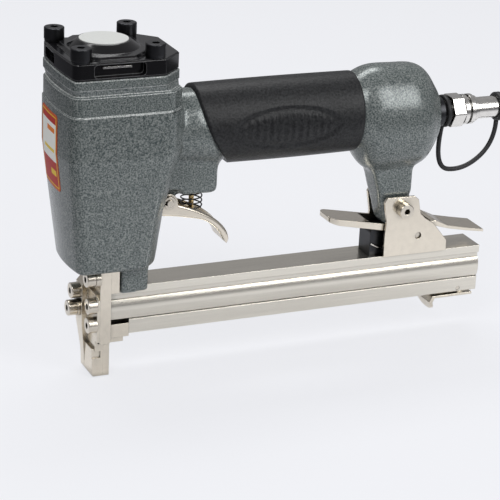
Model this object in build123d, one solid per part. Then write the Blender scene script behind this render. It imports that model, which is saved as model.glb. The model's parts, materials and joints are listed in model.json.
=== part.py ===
from build123d import *
import math
import os

# Pneumatic upholstery stapler for fine wire staples, in millimetres.
# The origin is the bottom centre of the nose tip, +Z is up and +X runs back to the
# air inlet. The piston, the driver blade and the cap share one vertical axis.

# Clearances
RUN_GAP = 0.05
SOFT_GAP = 0.3

# Driver and nose
DRIVE_X = 1.8
BLADE_THICK = 0.65
BLADE_HALF = 5.1
CHANNEL_THICK = 0.85
CHANNEL_HALF = 5.3
TIP_FRONT = -3.6
TIP_REAR = 4.2
TIP_HALF = 7.3
TIP_HEIGHT = 12.7
BAR_FRONT = -1.1
BAR_REAR = 3.9
BAR_HALF = 9.6
BAR_LOW = 15.7
SHEET_THICK = 1.3
SHEET_TOP = 38.4
RIB_NEAR = 2.9
RIB_FAR = 10.6
RIB_RISE = 2.7
RIB_TOP = 42.0
CHANNEL_FRONT = DRIVE_X - CHANNEL_THICK / 2
CHANNEL_REAR = DRIVE_X + CHANNEL_THICK / 2
NOSE_SCREW_Y = 7.4
SHEET_FACE = BAR_FRONT - SHEET_THICK
RIB_FACE = SHEET_FACE - RIB_RISE

# Head casting
HEAD_LOW = 51.0
TAPER_TOP = 103.0
BAND_LOW = 122.9
STEP_LOW = 131.2
FLANGE_LOW = 133.8
HEAD_TOP = 137.8
HEAD_FRONT = -20.3
HEAD_REAR = 31.8
HEAD_HALF = 21.7
HEAD_CORNER = 5.0
HEAD_CHAMFER = 5.8
HEAD_ROUND = 3.0
HEAD_BULGE = 2.0
LEDGE = 0.7
BAND_INSET = 0.4
WAIST_Z = 76.0
WAIST_REAR = 25.4
LOW_FRONT = -14.6
LOW_REAR = 22.9
LOW_HALF = 16.8
LOW_ROUND = 2.5

# Cylinder, piston and head valve
BORE_R = 13.5
SLEEVE_WALL = 1.8
SLEEVE_LOW = 64.0
SLEEVE_TOP = 123.5
CHAMBER_R = 18.6
CHAMBER_LOW = 100.0
STROKE = 36.0
PISTON_THICK = 9.0
BUMPER_TOP = 77.0
BLADE_LOW = 36.5
HEAD_VALVE_R = 17.2
HEAD_VALVE_THICK = 9.5
HEAD_VALVE_LIFT = 3.0

# Cap
CAP_FRONT = -18.9
CAP_REAR = 30.9
CAP_HALF = 21.0
CAP_CORNER = 3.0
CAP_ROUND = 1.4
CAP_REAR_CHAMFER = 9.2
GASKET_THICK = 0.6
CAP_DECK = HEAD_TOP + 7.4
PLATE_TOP = CAP_DECK + 1.5
DOME_TOP = CAP_DECK + 4.4
DOME_R = 15.2
DISC_R = 10.4
DISC_THICK = 0.5
SCREW_X = (-14.0, 18.2)
SCREW_Y = 17.3
M5_R = 2.5
M5_HEAD_R = 4.3
M5_HEAD = 5.0
M5_WASHER = 1.0
M5_LENGTH = 22.0
EXHAUST_HALF = 11.2
EXHAUST_LOW = HEAD_TOP + 0.9
EXHAUST_DEPTH = 3.5

# Printed label
LABEL_NEAR = -6.5
LABEL_FAR = 15.5
LABEL_LOW = 86.0
LABEL_HIGH = 119.5

# Handle and grip
HANDLE_Z = 109.0
CORE_A = 13.8
CORE_B = 16.0
GRIP_A = 15.8
GRIP_B = 18.0
GRIP_TOP_X = 41.5
GRIP_MID_X = 45.0
GRIP_LOW_X = 57.5
GRIP_END = 118.5
HANDLE_BORE = 8.4
INLET_Z = 105.0
REAR_X = 159.8

# Leg, trigger boss and foot
LEG_FRONT_TOP = 129.6
LEG_FRONT_LOW = LEG_FRONT_TOP + 6.4
LEG_REAR = LEG_FRONT_LOW + 12.4
LEG_HALF = 7.2
LEG_LOW = 55.0
LEG_TOP = 92.0
LEG_SHANK_HALF = 5.9
LEG_SHANK_TOP = 69.5
BOSS_FRONT = 31.5
BOSS_REAR = 53.0
BOSS_HALF = 8.6
BOSS_LOW = 79.5
FOOT_FRONT = 8.4
FOOT_REAR = 21.0
FOOT_HALF = 9.9
FOOT_LOW = 38.7

# Trigger
PIVOT_X = 30.6
PIVOT_Z = 76.8
TRIGGER_EAR_R = 3.7
TRIGGER_HALF = 6.6
TRIGGER_PLATE = 1.4
LUG_HALF = 4.7
STEM_X = 43.3
STEM_R = 1.15
TRIGGER_PIN_R = 1.5
VALVE_R = 6.5
VALVE_TOP = 100.0
STEM_LOW = 69.85
COLLAR_Z = 88.0
TRIGGER_SPRING_R = 4.6
TRIGGER_SPRING_WIRE = 0.6
TRIGGER_SPRING_TURNS = 4
TRIGGER_TRAVEL = 10.0

# Magazine
RAIL_HALF = 7.84
RAIL_TOP = 40.7
RAIL_LIP = 37.3
RAIL_GROOVE = 34.8
RAIL_LOW = 25.7
RAIL_SWELL = 0.5
GROOVE_DEPTH = 1.1
RAIL_REAR = 185.5
RAIL_ROOF = 37.0
CHANNEL_W = 5.7
SLIDE_LOW = 18.45
SLIDE_TOP = 25.4
SLIDE_HALF = 7.6
SLIDE_FRONT = 13.0
CORE_HALF = 4.4
CORE_TOP = 33.0
SLOT_HALF = 1.0
ROD_Z = 28.6
ROD_R = 1.2
SPRING_R = 2.6
PUSHER_FRONT = 14.5
PUSHER_LENGTH = 18.0

# Release latch
LATCH_PIN_X = 176.0
LATCH_PIN_Z = 20.2
LATCH_PIN_R = 1.0
LATCH_TOP = 17.0
LATCH_THICK = 1.1
LATCH_HALF = 6.6
TAB_X = 163.6
TAB_LOW = 9.6

# Rear bracket and lever
PLATE_Y = 8.0
PLATE_THICK = 1.4
M4_R = 2.0
M4_HEAD_R = 3.5
M4_HEAD = 4.0
BRACKET_SCREW_X = 143.2
BRACKET_SCREW_Z = 63.2
LEVER_PIN_X = 151.8
LEVER_PIN_Z = 49.6
LEVER_PIN_R = 1.6
LEVER_HUB_R = 2.4
LEVER_Y = 6.3
LEVER_PLATE = 1.2
LEVER_TIP = 107.8
SPRING_NEAR = 5.4
LEVER_SPRING_WIRE = 0.8
LEVER_SPRING_R = 3.0
LEVER_SPRING_TURNS = 3
LEVER_SPRING_PITCH = 1.25
ANCHOR_FRONT = 129.6
ANCHOR_REAR = 158.5
ANCHOR_HALF = 5.8
ANCHOR_TOP = 53.2

# Air fitting and dust cap
BUSH_R = 6.4
COLLAR_R = 7.0
COLLAR_END = 163.3
RING_R = 6.9
RING_THICK = 2.0
HEX_R = 8.0
HEX_START = 167.2
HEX_END = 173.0
BARREL_R = 4.95
BARREL_START = 179.6
PLUG_END = 206.0
NIPPLE_R = 3.9
PLUG_BORE = 2.6
PLUG_SHANK_R = 5.2
CAP_START = 191.6
DUST_CAP_END = 209.0
DUST_CAP_R = 6.6
STRAP_R = 1.1
STRAP_X = 165.0
STRAP_RING_R = 7.4
STRAP_END = CAP_START + 1.6

OUT = "parts"
os.makedirs(OUT, exist_ok=True)


# Shape helpers
def block(x0, x1, y0, y1, z0, z1):
    """A box between two corners."""
    size = (x1 - x0, y1 - y0, z1 - z0)
    middle = ((x0 + x1) / 2, (y0 + y1) / 2, (z0 + z1) / 2)
    return Pos(*middle) * Box(*size)


def post(x, y, z0, z1, r):
    """A round bar standing along Z."""
    return Pos(x, y, (z0 + z1) / 2) * Cylinder(r, z1 - z0)


def bar_x(x0, x1, y, z, r):
    """A round bar along X."""
    return Pos((x0 + x1) / 2, y, z) * Rot(0, 90, 0) * Cylinder(r, x1 - x0)


def bar_y(x, y0, y1, z, r):
    """A round bar along Y."""
    return Pos(x, (y0 + y1) / 2, z) * Rot(90, 0, 0) * Cylinder(r, y1 - y0)


def save(name, shape):
    """Write one sub-part as one STEP file."""
    solids = shape.solids()
    body = solids[0] if len(solids) == 1 else Compound(children=list(solids))
    export_step(body, f"{OUT}/{name}.step")


def side_profile(points, half, arc_at=()):
    """A prism of an X-Z outline, from -half to +half in Y."""
    with BuildLine(Plane.XZ) as line:
        corners = list(points) + [points[0]]
        i = 0
        while i < len(corners) - 1:
            if i + 1 in arc_at:
                ThreePointArc(corners[i], corners[i + 1], corners[i + 2])
                i += 2
            else:
                Line(corners[i], corners[i + 1])
                i += 1
    return extrude(make_face(line.line), amount=half, both=True)


def cross_profile(points, x0, x1, arc_at=()):
    """A prism of a Y-Z outline between two X stations."""
    with BuildLine(Plane.YZ.offset(x0)) as line:
        corners = list(points) + [points[0]]
        i = 0
        while i < len(corners) - 1:
            if i + 1 in arc_at:
                ThreePointArc(corners[i], corners[i + 1], corners[i + 2])
                i += 2
            else:
                Line(corners[i], corners[i + 1])
                i += 1
    return extrude(make_face(line.line), amount=x1 - x0, dir=(1, 0, 0))


def oval_x(x, a, b, z):
    """An upright oval across the X axis: half width a, half height b."""
    return Plane.YZ.offset(x) * Pos(0, z) * Ellipse(a, b)


def plan_outline(front, rear, half, corner, chamfer, round_r, bulge, z):
    """The head's plan: a gently convex front with round corners and cut rear corners."""
    shoulder = front + bulge
    cut = rear - chamfer
    with BuildLine() as line:
        ThreePointArc((shoulder, half), (front, 0), (shoulder, -half))
        Polyline((shoulder, -half), (cut, -half), (rear, chamfer - half),
                 (rear, half - chamfer), (cut, half), (shoulder, half))
    face = make_face(line.line)
    face = fillet(face.vertices().group_by(Axis.X)[0], corner)
    face = fillet(face.vertices().filter_by(lambda v: v.X > cut - 0.1), round_r)
    return Pos(0, 0, z) * face


def main_outline(inset, z):
    return plan_outline(HEAD_FRONT + inset, HEAD_REAR - inset, HEAD_HALF - inset, HEAD_CORNER, HEAD_CHAMFER,
                        HEAD_ROUND, HEAD_BULGE, z)


def taper_outline(rear, z, grow=0.0):
    """The plan within the tapering part; its front and sides draw in evenly to the bottom."""
    share = (TAPER_TOP - z) / (TAPER_TOP - HEAD_LOW)
    front = HEAD_FRONT + share * (LOW_FRONT - HEAD_FRONT) - grow
    half = HEAD_HALF + share * (LOW_HALF - HEAD_HALF)
    return plan_outline(front, rear, half, HEAD_CORNER, HEAD_CHAMFER, HEAD_ROUND, HEAD_BULGE, z)


def cap_outline(inset, z):
    return plan_outline(CAP_FRONT + inset, CAP_REAR - inset, CAP_HALF - inset, CAP_CORNER, CAP_REAR_CHAMFER,
                        CAP_ROUND, HEAD_BULGE * 0.6, z)


def biarc(p0, t0, p1, t1):
    """Two arcs from p0 to p1 that share their tangents with t0, t1 and each other."""
    v = p1 - p0
    both = t0 + t1
    turn = 2 * (1 - t0.dot(t1))
    d = (-v.dot(both) + math.sqrt(v.dot(both) ** 2 + turn * v.dot(v))) / turn
    middle = (p0 + p1 + (t0 - t1) * d) * 0.5
    ahead = (v - both * d).normalized()
    first = TangentArc(p0, middle, tangent=t0)
    second = TangentArc(middle, p1, tangent=ahead)
    return [first, second]


def coil(radius, wire, turns, height, start_angle=0.0):
    """A helical spring about Z, as one unbroken tube on biarcs of a quarter turn."""
    steps = round(turns * 4)
    rise = height / (turns * 2 * math.pi)

    def at(angle):
        lift = rise * (angle - math.radians(start_angle))
        return Vector(radius * math.cos(angle), radius * math.sin(angle), lift)

    def heading(angle):
        return Vector(-radius * math.sin(angle), radius * math.cos(angle), rise).normalized()

    edges = []
    for k in range(steps):
        a0 = math.radians(start_angle) + k * math.pi / 2
        a1 = a0 + math.pi / 2
        edges += biarc(at(a0), heading(a0), at(a1), heading(a1))
    path = Wire([e.edge() for e in edges])
    a0 = math.radians(start_angle)
    ring = Plane(origin=at(a0), z_dir=heading(a0)) * Circle(wire / 2)
    return sweep(ring, path=path)


def socket_screw(head_r, head, shank_r, length):
    """A socket head screw along Z: head above zero, shank below it."""
    body = post(0, 0, 0, head, head_r)
    body = fillet(body.edges().group_by(Axis.Z)[-1], head * 0.1)
    body -= Pos(0, 0, head * 0.75) * extrude(RegularPolygon(head_r * 0.42, 6), head * 0.5, both=True)
    return body + post(0, 0, -length, 0, shank_r)


def washer(inner, outer, thick):
    """A flat ring lying on Z = 0."""
    return post(0, 0, 0, thick, outer) - post(0, 0, -1, thick + 1, inner)


def grip_front(shift):
    """Everything ahead of the grip's curved front edge, moved back by shift."""
    top = HANDLE_Z + GRIP_B + 2
    low = HANDLE_Z - GRIP_B - 2
    points = [
        (0, top + 20),
        (GRIP_TOP_X + shift, top + 20),
        (GRIP_TOP_X + shift, top),
        (GRIP_MID_X + shift, HANDLE_Z),
        (GRIP_LOW_X + shift, low),
        (GRIP_LOW_X + shift, low - 30),
        (0, low - 30),
    ]
    return side_profile(points, 30, arc_at=(3,))


def rail_section(x0, x1, grow=0.0):
    """The magazine rail's outer shape: a lip, a groove and a swelling lower side."""
    h = RAIL_HALF + grow
    neck = RAIL_HALF - GROOVE_DEPTH + grow
    mid = (RAIL_GROOVE + RAIL_LOW) / 2
    low = RAIL_LOW - grow
    points = [
        (-h, RAIL_TOP + grow), (h, RAIL_TOP + grow), (h, RAIL_LIP), (neck, RAIL_LIP),
        (neck, RAIL_GROOVE), (h - RAIL_SWELL, RAIL_GROOVE), (h + RAIL_SWELL, mid),
        (h - RAIL_SWELL, low), (RAIL_SWELL - h, low), (-h - RAIL_SWELL, mid),
        (RAIL_SWELL - h, RAIL_GROOVE), (-neck, RAIL_GROOVE), (-neck, RAIL_LIP), (-h, RAIL_LIP),
    ]
    return cross_profile(points, x0, x1, arc_at=(6, 9))


# Head, handle and leg: one aluminium casting
def head_shell():
    waist = taper_outline(WAIST_REAR, WAIST_Z)
    shell = loft([taper_outline(LOW_REAR, HEAD_LOW), waist])
    shell = fillet(shell.edges().group_by(Axis.Z)[0], LOW_ROUND)
    shell += loft([waist, main_outline(0, TAPER_TOP)])
    # Each step up is a narrower storey whose lower neighbour ends in a chamfered ledge
    main = extrude(main_outline(0, TAPER_TOP), amount=BAND_LOW - TAPER_TOP)
    shell += chamfer(main.edges().group_by(Axis.Z)[-1], LEDGE)
    band = extrude(main_outline(BAND_INSET, BAND_LOW - LEDGE), amount=STEP_LOW - BAND_LOW + LEDGE)
    shell += chamfer(band.edges().group_by(Axis.Z)[-1], LEDGE)
    cove_low = main_outline(BAND_INSET + LEDGE + 0.3, STEP_LOW - LEDGE)
    cove_high = cap_outline(0, FLANGE_LOW)
    shell += loft([cove_low, cove_high])
    flange = extrude(cap_outline(-0.3, FLANGE_LOW), amount=HEAD_TOP - FLANGE_LOW)
    return shell + chamfer(flange.edges().group_by(Axis.Z)[-1], 0.3)


def handle_shape():
    core = extrude(oval_x(24, CORE_A, CORE_B, HANDLE_Z), amount=GRIP_END - 22)
    flare = loft([oval_x(24, CORE_A - 0.4, CORE_B - 1.2, HANDLE_Z - 0.6),
                  oval_x(62, GRIP_A + 0.8, GRIP_B + 0.6, HANDLE_Z)])
    flare &= grip_front(-0.2)
    sections = [
        (GRIP_END + 0.2, GRIP_A - 0.8, GRIP_B - 0.8, HANDLE_Z),
        (GRIP_END + 2.5, GRIP_A + 0.2, GRIP_B + 1.6, HANDLE_Z - 1.2),
        (GRIP_END + 6, GRIP_A + 1.2, GRIP_B + 4.9, HANDLE_Z - 3.0),
        (GRIP_END + 11.5, GRIP_A + 1.6, GRIP_B + 6.6, INLET_Z),
        (GRIP_END + 20, GRIP_A + 1.6, GRIP_B + 6.3, INLET_Z),
        (REAR_X - 13.8, GRIP_A + 1.4, GRIP_B + 6.0, INLET_Z),
        (REAR_X - 7.3, GRIP_A - 1.2, GRIP_B + 4.0, INLET_Z - 0.9),
        (REAR_X - 2.6, BUSH_R + 4.2, GRIP_B - 1.6, INLET_Z - 1.6),
        (REAR_X, BUSH_R + 1.4, BUSH_R + 3.6, INLET_Z - 0.8),
    ]
    bulb = loft([oval_x(*s) for s in sections])
    return core + flare + bulb


def leg_shape():
    points = [
        (LEG_FRONT_TOP - 8, LEG_TOP), (LEG_FRONT_TOP - 2.6, 84.5), (LEG_FRONT_TOP, 78.0), (LEG_FRONT_LOW, LEG_LOW),
        (LEG_REAR, LEG_LOW), (LEG_REAR, LEG_TOP),
    ]
    leg = side_profile(points, LEG_HALF)
    sides = leg.edges().filter_by(lambda e: abs(e.center().Y) > LEG_HALF - 0.1 and e.center().X < LEG_REAR - 6)
    leg = fillet(sides.filter_by(lambda e: e.center().Z > LEG_LOW + 1 and e.center().Z < LEG_TOP - 1), 1.6)
    for side in (-1, 1):
        inner = side * LEG_SHANK_HALF
        outer = side * (LEG_HALF + 3)
        leg -= block(LEG_FRONT_TOP - 2, LEG_REAR + 2, min(inner, outer), max(inner, outer),
                     LEG_LOW - 1, LEG_SHANK_TOP)
    return leg


def boss_shape():
    boss = block(BOSS_FRONT - 6, BOSS_REAR, -BOSS_HALF, BOSS_HALF, BOSS_LOW, HANDLE_Z - 6)
    boss = fillet(boss.edges().filter_by(Axis.Z), 4.0)
    boss = fillet(boss.edges().group_by(Axis.Z)[0], 1.5)
    lug_top = BOSS_LOW + 3
    lug = block(PIVOT_X - 8, PIVOT_X + 1, -LUG_HALF, LUG_HALF, PIVOT_Z, lug_top + 8)
    lug += bar_y(PIVOT_X, -LUG_HALF, LUG_HALF, PIVOT_Z, TRIGGER_EAR_R)
    lug += block(PIVOT_X - 8, PIVOT_X, -LUG_HALF, LUG_HALF, PIVOT_Z - TRIGGER_EAR_R, lug_top)
    for side in (-1, 1):
        inner = side * LUG_HALF
        outer = side * (BOSS_HALF + 4)
        boss -= block(BOSS_FRONT - 8, PIVOT_X + TRIGGER_EAR_R + 1.6, min(inner, outer), max(inner, outer),
                      BOSS_LOW - 2, lug_top)
    return boss + lug


def body_casting():
    body = head_shell() + handle_shape() + leg_shape() + boss_shape()
    foot = block(FOOT_FRONT, FOOT_REAR, -FOOT_HALF, FOOT_HALF, FOOT_LOW, HEAD_LOW + 4)
    foot = fillet(foot.edges().filter_by(Axis.Z), 1.2)
    body += foot
    # The driver, the cylinder and the air chamber above it
    body -= block(DRIVE_X - 1.3, DRIVE_X + 1.3, -CHANNEL_HALF - 0.7, CHANNEL_HALF + 0.7, HEAD_LOW - 2, SLEEVE_LOW + 1)
    body -= post(DRIVE_X, 0, SLEEVE_LOW, HEAD_TOP + 1, BORE_R + SLEEVE_WALL + RUN_GAP)
    body -= post(DRIVE_X, 0, CHAMBER_LOW, HEAD_TOP + 1, CHAMBER_R)
    # The air way through the handle, the inlet thread and the trigger valve's seat
    body -= bar_x(DRIVE_X + 8, REAR_X - 20, 0, HANDLE_Z, HANDLE_BORE)
    body -= bar_x(REAR_X - 26, REAR_X + 2, 0, INLET_Z, BUSH_R)
    body -= post(STEM_X, 0, BOSS_LOW - 1, VALVE_TOP + 2, VALVE_R + RUN_GAP)
    body -= bar_y(PIVOT_X, -LUG_HALF - 3, LUG_HALF + 3, PIVOT_Z, TRIGGER_PIN_R)
    # Where the rail and the bracket screw pass
    body -= block(FOOT_FRONT - 1, FOOT_REAR + 1, -RAIL_HALF, RAIL_HALF, FOOT_LOW - 1, RAIL_TOP)
    body -= bar_y(BRACKET_SCREW_X, -LEG_HALF - 2, LEG_HALF + 2, BRACKET_SCREW_Z, M4_R + 0.1)
    for x in SCREW_X:
        for y in (-SCREW_Y, SCREW_Y):
            body -= post(x, y, CAP_DECK - M5_LENGTH, HEAD_TOP + 1, M5_R)
    return body


save("body_casting", body_casting())


# Cylinder cap with its exhaust windows
def cap_shape():
    base = HEAD_TOP + GASKET_THICK
    cap = extrude(cap_outline(0, base), amount=CAP_DECK - base)
    cap = chamfer(cap.edges().group_by(Axis.Z)[-1], 0.6)
    # An eight-sided plate with room for the screws, then a round boss under the disc
    plan = Pos(DRIVE_X, 0, CAP_DECK - 1) * (Rectangle(34, 38) & Rot(0, 0, 45) * Rectangle(38, 38))
    plate = extrude(plan, amount=PLATE_TOP - CAP_DECK + 1)
    plate = chamfer(plate.edges().group_by(Axis.Z)[-1], 1.0)
    for x in SCREW_X:
        for y in (-SCREW_Y, SCREW_Y):
            plate -= post(x, y, CAP_DECK, PLATE_TOP + 1, M5_HEAD_R + 1.4)
    boss_high = DOME_TOP - PLATE_TOP
    boss = Pos(DRIVE_X, 0, PLATE_TOP + boss_high / 2) * Cone(DOME_R, DISC_R + 0.7, boss_high)
    cap += plate + boss
    # Valve guide skirt and the room for the head valve
    cap += post(DRIVE_X, 0, HEAD_TOP - 9, CAP_DECK - 1, CHAMBER_R - 0.1)
    cap -= post(DRIVE_X, 0, HEAD_TOP - 10, CAP_DECK - 1.5, HEAD_VALVE_R + RUN_GAP)
    # Exhaust windows on both sides and at the front
    for side in (-1, 1):
        window = block(DRIVE_X - EXHAUST_HALF, DRIVE_X + EXHAUST_HALF, -EXHAUST_DEPTH, EXHAUST_DEPTH,
                       EXHAUST_LOW, CAP_DECK - 0.9)
        window = fillet(window.edges().filter_by(Axis.Y), 1.6)
        cap -= Pos(0, side * CAP_HALF, 0) * window
    front = block(CAP_FRONT - 2, CAP_FRONT + EXHAUST_DEPTH, 2.0, 16.0, EXHAUST_LOW + 0.4, CAP_DECK - 1.4)
    cap -= fillet(front.edges().filter_by(Axis.X), 1.4)
    for x in SCREW_X:
        for y in (-SCREW_Y, SCREW_Y):
            cap -= post(x, y, HEAD_TOP - 1, CAP_DECK + 1, M5_R + 0.2)
            cap -= post(x, y, CAP_DECK, DOME_TOP + 1, M5_HEAD_R + 0.6)
    cap -= post(DRIVE_X, 0, DOME_TOP - DISC_THICK, DOME_TOP + 1, DISC_R)
    return cap


save("cap", cap_shape())

gasket = extrude(cap_outline(0.4, HEAD_TOP), amount=GASKET_THICK)
gasket -= post(DRIVE_X, 0, HEAD_TOP - 1, HEAD_TOP + 2, CHAMBER_R)
cap_screws = []
cap_washers = []
for x in SCREW_X:
    for y in (-SCREW_Y, SCREW_Y):
        gasket -= post(x, y, HEAD_TOP - 1, HEAD_TOP + 2, M5_R + 0.2)
        turned = Rot(0, 0, 17 * x + 5 * y)
        cap_screws.append(Pos(x, y, CAP_DECK + M5_WASHER) * turned
                          * socket_screw(M5_HEAD_R, M5_HEAD, M5_R, M5_LENGTH))
        cap_washers.append(Pos(x, y, CAP_DECK) * washer(M5_R, M5_HEAD_R - 0.2, M5_WASHER))
save("cap_gasket", gasket)
save("cap_screws", Compound(children=cap_screws))
save("cap_washers", Compound(children=cap_washers))
save("cap_disc", post(DRIVE_X, 0, DOME_TOP - DISC_THICK, DOME_TOP + 0.25, DISC_R - 0.05))

exhaust_bars = []
for side in (-1, 1):
    y = side * (CAP_HALF - EXHAUST_DEPTH)
    exhaust_bars.append(block(DRIVE_X - EXHAUST_HALF + 4.4, DRIVE_X + EXHAUST_HALF - 5.4, min(y, y + side * 1.2),
                              max(y, y + side * 1.2), EXHAUST_LOW + 3.2, EXHAUST_LOW + 4.1))
save("exhaust_bars", Compound(children=exhaust_bars))

def front_label():
    """A thin printed label that follows the head's convex, tapering front."""
    def skin(grow):
        high = taper_outline(HEAD_REAR, TAPER_TOP, grow)
        tapered = loft([taper_outline(WAIST_REAR, WAIST_Z, grow), high])
        return tapered + extrude(high, amount=BAND_LOW - LEDGE - TAPER_TOP)

    window = block(HEAD_FRONT - 5, DRIVE_X - 4, LABEL_NEAR, LABEL_FAR, LABEL_LOW, LABEL_HIGH)
    window = fillet(window.edges().filter_by(Axis.X), 2.0)
    return window & (skin(0.15) - skin(0.0))


save("front_label", front_label())


# Cylinder sleeve with its return ports, piston, driver and bumper
def cylinder_sleeve():
    sleeve = post(DRIVE_X, 0, SLEEVE_LOW, SLEEVE_TOP, BORE_R + SLEEVE_WALL)
    sleeve -= post(DRIVE_X, 0, SLEEVE_LOW - 1, SLEEVE_TOP + 1, BORE_R)
    for z in (SLEEVE_LOW + 6, CHAMBER_LOW - 4):
        sleeve -= Pos(DRIVE_X, 0, z) * Torus(BORE_R + SLEEVE_WALL, 0.9)
    for turn in range(8):
        port = Pos(DRIVE_X, 0, BUMPER_TOP + 5) * Rot(0, 0, turn * 45 + 22.5)
        sleeve -= port * Pos(BORE_R + 1, 0, 0) * Rot(0, 90, 0) * Cylinder(0.8, 6)
    return sleeve


save("cylinder_sleeve", cylinder_sleeve())
sleeve_rings = [Pos(DRIVE_X, 0, z) * Torus(BORE_R + SLEEVE_WALL - 0.1, 0.8)
                & post(DRIVE_X, 0, z - 2, z + 2, BORE_R + SLEEVE_WALL + RUN_GAP / 2)
                for z in (SLEEVE_LOW + 6, CHAMBER_LOW - 4)]
save("sleeve_orings", Compound(children=sleeve_rings))

piston_low = BUMPER_TOP + STROKE
piston_top = piston_low + PISTON_THICK
ring_r = 0.9
piston = post(DRIVE_X, 0, piston_low, piston_top, BORE_R - RUN_GAP)
piston -= Pos(DRIVE_X, 0, piston_low + PISTON_THICK / 2) * Torus(BORE_R - ring_r, ring_r + RUN_GAP)
piston -= block(DRIVE_X - BLADE_THICK / 2, DRIVE_X + BLADE_THICK / 2, -BLADE_HALF, BLADE_HALF,
                piston_low - 1, piston_top - 2)
piston -= bar_x(DRIVE_X - BORE_R, DRIVE_X + 6, 0, piston_low + 2.4, 1.0)
save("piston", piston)
piston_ring = Pos(DRIVE_X, 0, piston_low + PISTON_THICK / 2) * Torus(BORE_R - ring_r, ring_r - RUN_GAP)
save("piston_oring", piston_ring)
blade = block(DRIVE_X - BLADE_THICK / 2, DRIVE_X + BLADE_THICK / 2, -BLADE_HALF, BLADE_HALF,
              BLADE_LOW, piston_top - 2)
blade -= bar_x(DRIVE_X - 3, DRIVE_X + 3, 0, piston_low + 2.4, 1.0)
save("driver_blade", blade)
save("blade_pin", bar_x(DRIVE_X - BORE_R + 4, DRIVE_X + 6, 0, piston_low + 2.4, 1.0))

bumper = post(DRIVE_X, 0, SLEEVE_LOW, BUMPER_TOP, BORE_R - 0.2)
bumper -= block(DRIVE_X - 1.3, DRIVE_X + 1.3, -BLADE_HALF - 0.6, BLADE_HALF + 0.6, SLEEVE_LOW - 1, BUMPER_TOP + 1)
save("bumper", chamfer(bumper.edges().group_by(Axis.Z)[-1].filter_by(GeomType.CIRCLE), 1.2))

# Head valve above the cylinder, with its seal and spring
valve_low = SLEEVE_TOP + SOFT_GAP
valve_top = valve_low + HEAD_VALVE_THICK
head_valve = post(DRIVE_X, 0, valve_low, valve_top, HEAD_VALVE_R)
head_valve += post(DRIVE_X, 0, valve_top, valve_top + 4, 6.0)
head_valve -= Pos(DRIVE_X, 0, valve_top - 3) * Torus(HEAD_VALVE_R - ring_r, ring_r + RUN_GAP)
head_valve -= post(DRIVE_X, 0, valve_top + 1, valve_top + 5, 3.0)
save("head_valve", head_valve)
save("head_valve_oring", Pos(DRIVE_X, 0, valve_top - 3) * Torus(HEAD_VALVE_R - ring_r, ring_r - RUN_GAP))
valve_spring_wire = 1.1
valve_spring_high = CAP_DECK - 1.5 - valve_top
head_spring = coil(8.4, valve_spring_wire, 3, valve_spring_high - valve_spring_wire - 0.1)
save("head_valve_spring", Pos(DRIVE_X, 0, valve_top + valve_spring_wire / 2 + 0.05) * head_spring)


# Rubber grip with a plain ribbed panel on each side
def grip_sleeve():
    outer = extrude(oval_x(30, GRIP_A, GRIP_B, HANDLE_Z), amount=GRIP_END - 30)
    outer = fillet(outer.edges().group_by(Axis.X)[-1], 1.2)
    outer -= grip_front(0)
    inner = extrude(oval_x(20, CORE_A + RUN_GAP, CORE_B + RUN_GAP, HANDLE_Z), amount=GRIP_END)
    grip = outer - inner
    for side in (-1, 1):
        panel = Plane.XZ.offset(-side * (GRIP_A - 0.35)) * Pos(81, HANDLE_Z - 0.5) * SlotOverall(44, 16)
        grip -= extrude(panel, amount=-side * 2) & outer
        for k in range(9):
            x = 81 + (k - 4) * 3.6
            rib = block(x - 0.7, x + 0.7, GRIP_A - 1.2, GRIP_A - 0.15, HANDLE_Z - 5.5, HANDLE_Z + 4.5)
            grip += rib if side > 0 else mirror(rib, about=Plane.XZ)
    return grip


save("grip_sleeve", grip_sleeve())


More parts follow.
